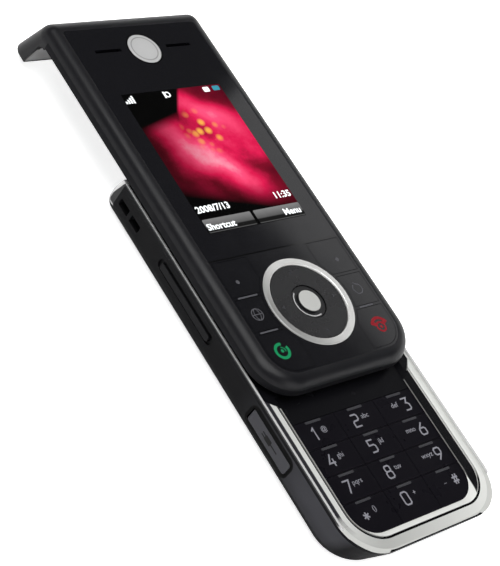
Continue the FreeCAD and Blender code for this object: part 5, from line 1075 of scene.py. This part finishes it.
class PHONE_OT_key_dashes(bpy.types.Operator):
    """Sets a raised dash along the upper edge of each number key"""

    bl_idname = "phone.key_dashes"
    bl_label = "Key dashes"

    def execute(self, context):
        colours, sizes, _ = settings()
        paint = ink("dash_print", tuple(c * 0.15 for c in colours.legend))
        size = (sizes.dash_length, sizes.dash_width, DASH_HEIGHT)
        for row in KEY_LEGENDS:
            for column, (key, _, _) in enumerate(row):
                bm = bmesh.new()
                place = (KEY_COLUMNS[column][2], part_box(key)[1].y - DASH_DROP, KEY_TOP)
                add_bar(bm, place, size, sizes.dash_width * 0.4)
                add_piece("dash_" + key, bm, key, paint)
        return {"FINISHED"}


def add_handset(bm, centre, radius, height, turn):
    """Telephone handset: a curved grip with a block at each end."""
    sweep = math.radians(130)
    inset = 0.08
    grip_width = radius * 0.34
    block_reach = radius * 0.88
    add_arc(bm, centre, radius, grip_width, height, turn, sweep, steps=14)
    for index, angle in enumerate((turn + inset, turn + sweep - inset)):
        x = centre[0] + math.cos(angle) * block_reach
        y = centre[1] + math.sin(angle) * block_reach
        block = (radius * 0.66, radius * 0.44, stepped(height, index + 1))
        add_bar(bm, (x, y, centre[2]), block, corner=radius * 0.1, turn=angle)


class PHONE_OT_face_legends(bpy.types.Operator):
    """Prints the dots, dashes and signs beside the navigation key"""

    bl_idname = "phone.face_legends"
    bl_label = "Face legends"

    def execute(self, context):
        colours, sizes, _ = settings()
        grey = ink("face_print", tuple(c * 0.3 for c in colours.legend))
        height = sizes.ink
        for name, x in SOFT_DOTS:
            bm = bmesh.new()
            add_disc(bm, (x, SOFT_DOT_Y, PANEL_TOP), 0.5 * MM, height)
            add_piece("dot_" + name, bm, name, grey)
        bm = bmesh.new()
        for x0, x1, y in PANEL_DASHES:
            size = ((x1 - x0) * MM, 0.4 * MM, height)
            add_bar(bm, ((x0 + x1) / 2 * MM, y * MM, PANEL_TOP), size, 0.1 * MM)
        add_piece("panel_dashes", bm, "slider", grey)
        self.globe(grey, height)
        self.shortcut(grey, height)
        self.send(ink("send_print", colours.send, 0.1), height)
        self.end(ink("end_print", colours.end, 0.1), height)
        return {"FINISHED"}

    def send(self, paint, height):
        """Open ring round a dot, with a short arc between them."""
        bm = bmesh.new()
        place = (*SEND_PLACE, PANEL_TOP)
        add_arc(bm, place, 1.75 * MM, 0.72 * MM, height, math.radians(70), math.radians(318), steps=36)
        add_disc(bm, place, 0.42 * MM, height)
        add_arc(bm, place, 0.9 * MM, 0.26 * MM, height, math.radians(-20), math.radians(110), steps=14)
        add_piece("sign_send", bm, "send_key", paint)

    def end(self, paint, height):
        """Handset laid over a ring with a dot in it."""
        bm = bmesh.new()
        x, y = END_PLACE
        ring = (x, y - 0.7 * MM, PANEL_TOP)
        add_handset(bm, (x, y - 0.6 * MM, PANEL_TOP), 2.3 * MM, height, math.radians(25))
        add_arc(bm, ring, 1.2 * MM, 0.5 * MM, stepped(height, 3))
        add_disc(bm, ring, 0.42 * MM, stepped(height, 4))
        add_piece("sign_end", bm, "end_key", paint)

    def globe(self, paint, height):
        """Ring with its equator and two meridians."""
        bm = bmesh.new()
        x, y = GLOBE_PLACE
        add_arc(bm, (x, y, PANEL_TOP), 1.5 * MM, 0.26 * MM, height)
        add_bar(bm, (x, y, PANEL_TOP), (2.9 * MM, 0.22 * MM, stepped(height, 1)))
        sweep = math.radians(88)
        for index, (side, start) in enumerate(((-1, math.radians(136)), (1, math.radians(-44)))):
            middle = (x - side * 1.25 * MM, y, PANEL_TOP)
            add_arc(bm, middle, 2.0 * MM, 0.2 * MM, stepped(height, index + 2), start, sweep, steps=12)
        add_piece("sign_globe", bm, "browser_key", paint)

    def shortcut(self, paint, height):
        """Turning arrow: an open ring with a short bar across its upper end."""
        bm = bmesh.new()
        x, y = SHORTCUT_PLACE
        start, sweep = math.radians(120), math.radians(300)
        add_arc(bm, (x, y, PANEL_TOP), 1.35 * MM, 0.28 * MM, height, start, sweep, steps=26)
        bar = (1.3 * MM, 0.3 * MM, stepped(height, 1))
        add_bar(bm, (x + 0.1 * MM, y + 1.35 * MM, PANEL_TOP), bar, turn=math.radians(-35))
        add_piece("sign_shortcut", bm, "shortcut_key", paint)


class PHONE_OT_navigation_marks(bpy.types.Operator):
    """Prints a faint pointer at each quarter of the navigation key"""

    bl_idname = "phone.navigation_marks"
    bl_label = "Navigation marks"

    def execute(self, context):
        colours, sizes, _ = settings()
        bm = bmesh.new()
        for quarter in range(4):
            angle = quarter * math.pi / 2
            x, y = math.cos(angle) * POINTER_REACH, NAV_Y + math.sin(angle) * POINTER_REACH
            bmesh.ops.create_cone(
                bm, cap_ends=True, segments=3, depth=sizes.ink,
                radius1=POINTER_RADIUS, radius2=POINTER_RADIUS,
                matrix=at(x, y, PAD_TOP + sizes.ink / 2) @ Matrix.Rotation(angle - math.pi / 2, 4, "Z"),
            )
        add_piece("navigation_marks", bm, "nav_pad", ink("faint_print", colours.faint))
        return {"FINISHED"}


# ---------------------------------------------------------------------------------------------------------
# Display
# ---------------------------------------------------------------------------------------------------------

PICTURE_LAYER = 0.01 * MM
SIGN_LAYER = FACE + PICTURE_LAYER
DISPLAY_CORNER = 0.3 * MM
WORD_WEIGHT = 0.06 * MM
CLOCK_HEIGHT = 1.8 * MM
LABEL_HEIGHT = 1.75 * MM
# Plates on the display, in millimetres: x and y of the middle, then width and height.
UPRIGHT_PLATE = (-2.9, 68.0, 0.5, 1.9)
STATUS_PLATE = (10.4, 68.2, 1.9, 1.5)
CHARGE_PLATE = (13.6, 68.3, 2.2, 1.4)
SOFTKEY_PLATES = ((-7.7, 30.6, 14.7, 3.7), (7.95, 30.6, 14.7, 3.7))


class PHONE_OT_display_picture(bpy.types.Operator):
    """Lights the display on the window's face"""

    bl_idname = "phone.display_picture"
    bl_label = "Display picture"

    def execute(self, context):
        sizes = settings()[1]
        bm = bmesh.new()
        size = (sizes.picture_width, sizes.picture_height, PICTURE_LAYER)
        add_bar(bm, (0, DISPLAY_Y, FACE), size, DISPLAY_CORNER)
        add_piece("display_picture", bm, "slider", display_picture_material())
        return {"FINISHED"}


class PHONE_OT_display_overlay(bpy.types.Operator):
    """Adds the status signs, clock and soft key labels to the display"""

    bl_idname = "phone.display_overlay"
    bl_label = "Display overlay"

    def execute(self, context):
        layer = settings()[1].ink
        white = ink("display_white", (0.7, 0.72, 0.73), 0.8)
        teal = ink("display_teal", (0.02, 0.2, 0.27), 0.5)
        bm = bmesh.new()
        self.signal(bm, layer)
        self.plate(bm, UPRIGHT_PLATE, layer)
        add_arc(bm, (-2.0 * MM, 68.0 * MM, SIGN_LAYER), 0.7 * MM, 0.35 * MM, layer)
        self.plate(bm, STATUS_PLATE, layer, DISPLAY_CORNER)
        add_piece("display_signs", bm, "slider", white)
        bm = bmesh.new()
        self.plate(bm, CHARGE_PLATE, layer, DISPLAY_CORNER)
        add_piece("display_charge", bm, "slider", teal)
        bm = bmesh.new()
        date_place = (-14.9 * MM, 35.1 * MM, SIGN_LAYER)
        time_place = (14.9 * MM, 35.3 * MM, SIGN_LAYER)
        add_words(bm, "2008/7/13", CLOCK_HEIGHT, layer, date_place, "LEFT", WORD_WEIGHT)
        add_words(bm, "11:35", CLOCK_HEIGHT, layer, time_place, "RIGHT", WORD_WEIGHT)
        add_piece("display_clock", bm, "slider", white)
        bm = bmesh.new()
        for plate in SOFTKEY_PLATES:
            self.plate(bm, plate, layer, DISPLAY_CORNER)
        add_piece("softkey_bars", bm, "slider", softkey_bar_material())
        bm = bmesh.new()
        on_bars = SIGN_LAYER + layer
        left_place = (-14.8 * MM, 30.2 * MM, on_bars)
        right_place = (14.7 * MM, 30.4 * MM, on_bars)
        add_words(bm, "Shortcut", LABEL_HEIGHT, layer / 2, left_place, "LEFT", WORD_WEIGHT)
        add_words(bm, "Menu", LABEL_HEIGHT, layer / 2, right_place, "RIGHT", WORD_WEIGHT)
        add_piece("softkey_labels", bm, "slider", white)
        return {"FINISHED"}

    def plate(self, bm, plate, layer, corner=0.0):
        """Flat plate on the display from its place and size in millimetres."""
        x, y, width, height = (value * MM for value in plate)
        add_bar(bm, (x, y, SIGN_LAYER), (width, height, layer), corner)

    def signal(self, bm, layer):
        """Four bars, each taller than the last."""
        for index in range(4):
            x = (-14.9 + 0.75 * index) * MM
            tall = (0.7 + 0.5 * index) * MM
            add_bar(bm, (x, 66.6 * MM + tall / 2, SIGN_LAYER), (0.5 * MM, tall, layer))


# ---------------------------------------------------------------------------------------------------------
# Small fittings
# ---------------------------------------------------------------------------------------------------------


class PHONE_OT_small_fittings(bpy.types.Operator):
    """Adds the black ring painted as shade round the badge, the painted highlight arc on the select key, the
    port cover's sign and the camera's ring
    """

    bl_idname = "phone.small_fittings"
    bl_label = "Small fittings"

    def execute(self, context):
        self.badge_shadow_ring()
        self.crescent_highlight()
        self.port_sign()
        self.camera_ring()
        return {"FINISHED"}

    def badge_shadow_ring(self):
        """Thin black ring set in the gap round the badge as painted shade."""
        radius = (BADGE_HIGH.x - BADGE_LOW.x) / 2
        sunk = 0.2 * MM
        bm = bmesh.new()
        add_arc(bm, (0, BADGE_Y, FACE - sunk), radius + 0.17 * MM, 0.32 * MM, 0.24 * MM, steps=72)
        rim = plastic("badge_shadow_ring", (0.001, 0.001, 0.001), (0.3, 0.4), specular=0.02)
        add_piece("badge_shadow_ring", bm, "slider", rim)

    def crescent_highlight(self):
        """Painted highlight: bright arc on the left of the select key's flange."""
        flange_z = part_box("select_key")[1].z - 0.5 * MM
        start, sweep = math.radians(130), math.radians(160)
        bm = bmesh.new()
        add_arc(bm, (0, NAV_Y, flange_z), 3.85 * MM, 0.3 * MM, 0.03 * MM, start, sweep, steps=28)
        silver = ink("crescent_highlight_silver", (0.42, 0.42, 0.42))
        add_piece("select_crescent_highlight", bm, "select_key", silver)

    def port_sign(self):
        """Plug sign, raised on the cover."""
        left_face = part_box("port_cover")[0].x
        middle_y = -17.9 * MM
        middle_z = 5.8 * MM
        relief = 0.05 * MM
        bm = bmesh.new()
        add_bar(bm, (0, 0, 0), (2.2 * MM, 1.3 * MM, relief), 0.25 * MM)
        for y in (-0.35, 0.35):
            add_bar(bm, (1.6 * MM, y * MM, 0), (1.1 * MM, 0.24 * MM, relief))
        add_bar(bm, (-2.3 * MM, 0, 0), (2.4 * MM, 0.26 * MM, relief))
        turn = Matrix(((0, 0, -1), (1, 0, 0), (0, -1, 0))).to_4x4()
        bmesh.ops.transform(bm, matrix=at(left_face, middle_y, middle_z) @ turn, verts=bm.verts)
        add_piece("port_sign", bm, "port_cover", ink("port_print", (0.003, 0.003, 0.003)))

    def camera_ring(self):
        """Bright ring round the camera's window."""
        low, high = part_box("camera_window")
        middle = ((low.x + high.x) / 2, (low.y + high.y) / 2)
        radius = (high.x - low.x) / 2
        off_rear = 0.02 * MM
        bm = bmesh.new()
        add_arc(bm, (*middle, off_rear), radius - 0.35 * MM, 0.6 * MM, low.z - off_rear, steps=64)
        add_piece("camera_ring", bm, "base", bpy.data.materials["chrome_trim"])


# ---------------------------------------------------------------------------------------------------------
# Stage
# ---------------------------------------------------------------------------------------------------------

PALE = (0.93, 0.93, 0.93)
FLOOR_DROP = 0.05 * MM
# Name, place, width, height and power of each soft light.
SOFT_LIGHTS = (
    ("top_light", (-0.15, 0.1, 1.1), 1.0, 1.0, 15.0),
    ("front_light", (0.1, -0.9, 0.6), 0.6, 0.6, 1.9),
    ("side_light", (1.97, 0.4, 1.31), 1.6, 0.58, 2.3),
)
LIGHT_AIM = Vector((0, 0.02, 0))


class PHONE_OT_studio(bpy.types.Operator):
    """Sets the pale floor, the low wall, the soft lights and the camera"""

    bl_idname = "phone.studio"
    bl_label = "Studio"

    def execute(self, context):
        studio = settings()[2]
        scene = bpy.context.scene
        scene.view_settings.view_transform = "Standard"
        self.floor(studio)
        self.backdrop(studio)
        self.air(scene, studio)
        for light in SOFT_LIGHTS:
            self.soft_light(*light)
        self.camera(scene, studio)
        return {"FINISHED"}

    def floor(self, studio):
        """Pale floor just under the phone; only the camera sees its glow."""
        material, tree, shader, place = start_material("pale_floor")
        grain = noise(tree, place, 3.0)
        shade = toned(tree, PALE, spread(tree, grain, 0.985, 1.0))
        dress(tree, shader, shade, spread(tree, grain, 0.75, 0.85))
        shader.inputs["Emission Color"].default_value = (1, 1, 1, 1)
        seen = tree.nodes.new("ShaderNodeLightPath").outputs["Is Camera Ray"]
        tree.links.new(blended(tree, seen, 0.0, studio.floor_glow), shader.inputs["Emission Strength"])
        bm = bmesh.new()
        ground = at(0, 0, -FLOOR_DROP)
        bmesh.ops.create_grid(bm, x_segments=1, y_segments=1, size=studio.floor / 2, matrix=ground)
        linked_object("floor", bm, material)

    def backdrop(self, studio):
        """Low white wall all round the floor, lit evenly."""
        material, tree, shader, place = start_material("pale_backdrop")
        grain = spread(tree, noise(tree, place, 2.0), 0.97, 1.0)
        tree.links.new(toned(tree, PALE, grain), shader.inputs["Base Color"])
        tree.links.new(toned(tree, (1.0, 1.0, 1.0), grain), shader.inputs["Emission Color"])
        shader.inputs["Emission Strength"].default_value = studio.backdrop_glow
        radius = studio.floor / 2 * 0.9
        height = radius * 0.42
        bm = bmesh.new()
        bmesh.ops.create_cone(
            bm, cap_ends=False, segments=96, radius1=radius, radius2=radius, depth=height,
            matrix=at(0, 0, height / 2),
        )
        bmesh.ops.reverse_faces(bm, faces=bm.faces)
        linked_object("backdrop", bm, material)

    def air(self, scene, studio):
        """Faint even light from all round."""
        world = bpy.data.worlds.new("studio_air")
        world.use_nodes = True
        background = world.node_tree.nodes["Background"]
        background.inputs["Color"].default_value = (1, 1, 1, 1)
        background.inputs["Strength"].default_value = studio.sky
        scene.world = world

    def soft_light(self, name, place, width, height, power):
        """Soft light aimed at the phone."""
        light = bpy.data.lights.new(name, "AREA")
        light.shape = "RECTANGLE"
        light.size = width
        light.size_y = height
        light.energy = power
        holder = bpy.data.objects.new(name, light)
        holder.location = place
        holder.rotation_euler = (LIGHT_AIM - Vector(place)).to_track_quat("-Z", "Y").to_euler()
        bpy.context.scene.collection.objects.link(holder)

    def camera(self, scene, studio):
        """Camera with the lens and place of the settings."""
        camera = bpy.data.cameras.new("camera")
        camera.sensor_width = 36.0
        camera.lens = studio.lens
        camera.clip_start = 0.01
        holder = bpy.data.objects.new("camera", camera)
        holder.location = studio.camera_place
        holder.rotation_euler = Euler(studio.camera_turn)
        scene.collection.objects.link(holder)
        scene.camera = holder


# ---------------------------------------------------------------------------------------------------------
# Panel and registration
# ---------------------------------------------------------------------------------------------------------

STEPS = (
    PHONE_OT_shader_groups,
    PHONE_OT_base_finishes,
    PHONE_OT_slider_finishes,
    PHONE_OT_inner_finishes,
    PHONE_OT_number_legends,
    PHONE_OT_key_dashes,
    PHONE_OT_face_legends,
    PHONE_OT_navigation_marks,
    PHONE_OT_display_picture,
    PHONE_OT_display_overlay,
    PHONE_OT_small_fittings,
    PHONE_OT_studio,
)


class PHONE_PT_panel(bpy.types.Panel):
    """Lists the colours, sizes, studio values and steps of the phone"""

    bl_label = "Slider Phone"
    bl_idname = "PHONE_PT_panel"
    bl_space_type = "VIEW_3D"
    bl_region_type = "UI"
    bl_category = "Slider Phone"

    def draw(self, context):
        for group in (context.scene.phone_colours, context.scene.phone_sizes, context.scene.phone_studio):
            box = self.layout.box()
            for key in group.__annotations__:
                box.prop(group, key)
        for step in STEPS:
            self.layout.operator(step.bl_idname)


CLASSES = (PhoneColours, PhoneSizes, PhoneStudio, *STEPS, PHONE_PT_panel)


def register():
    for item in CLASSES:
        bpy.utils.register_class(item)
    bpy.types.Scene.phone_colours = PointerProperty(type=PhoneColours)
    bpy.types.Scene.phone_sizes = PointerProperty(type=PhoneSizes)
    bpy.types.Scene.phone_studio = PointerProperty(type=PhoneStudio)


def unregister():
    del bpy.types.Scene.phone_studio
    del bpy.types.Scene.phone_sizes
    del bpy.types.Scene.phone_colours
    for item in reversed(CLASSES):
        bpy.utils.unregister_class(item)


def main():
    register()
    for step in STEPS:
        name = step.bl_idname.split(".")[1]
        getattr(bpy.ops.phone, name)()


if __name__ == "__main__":
    main()
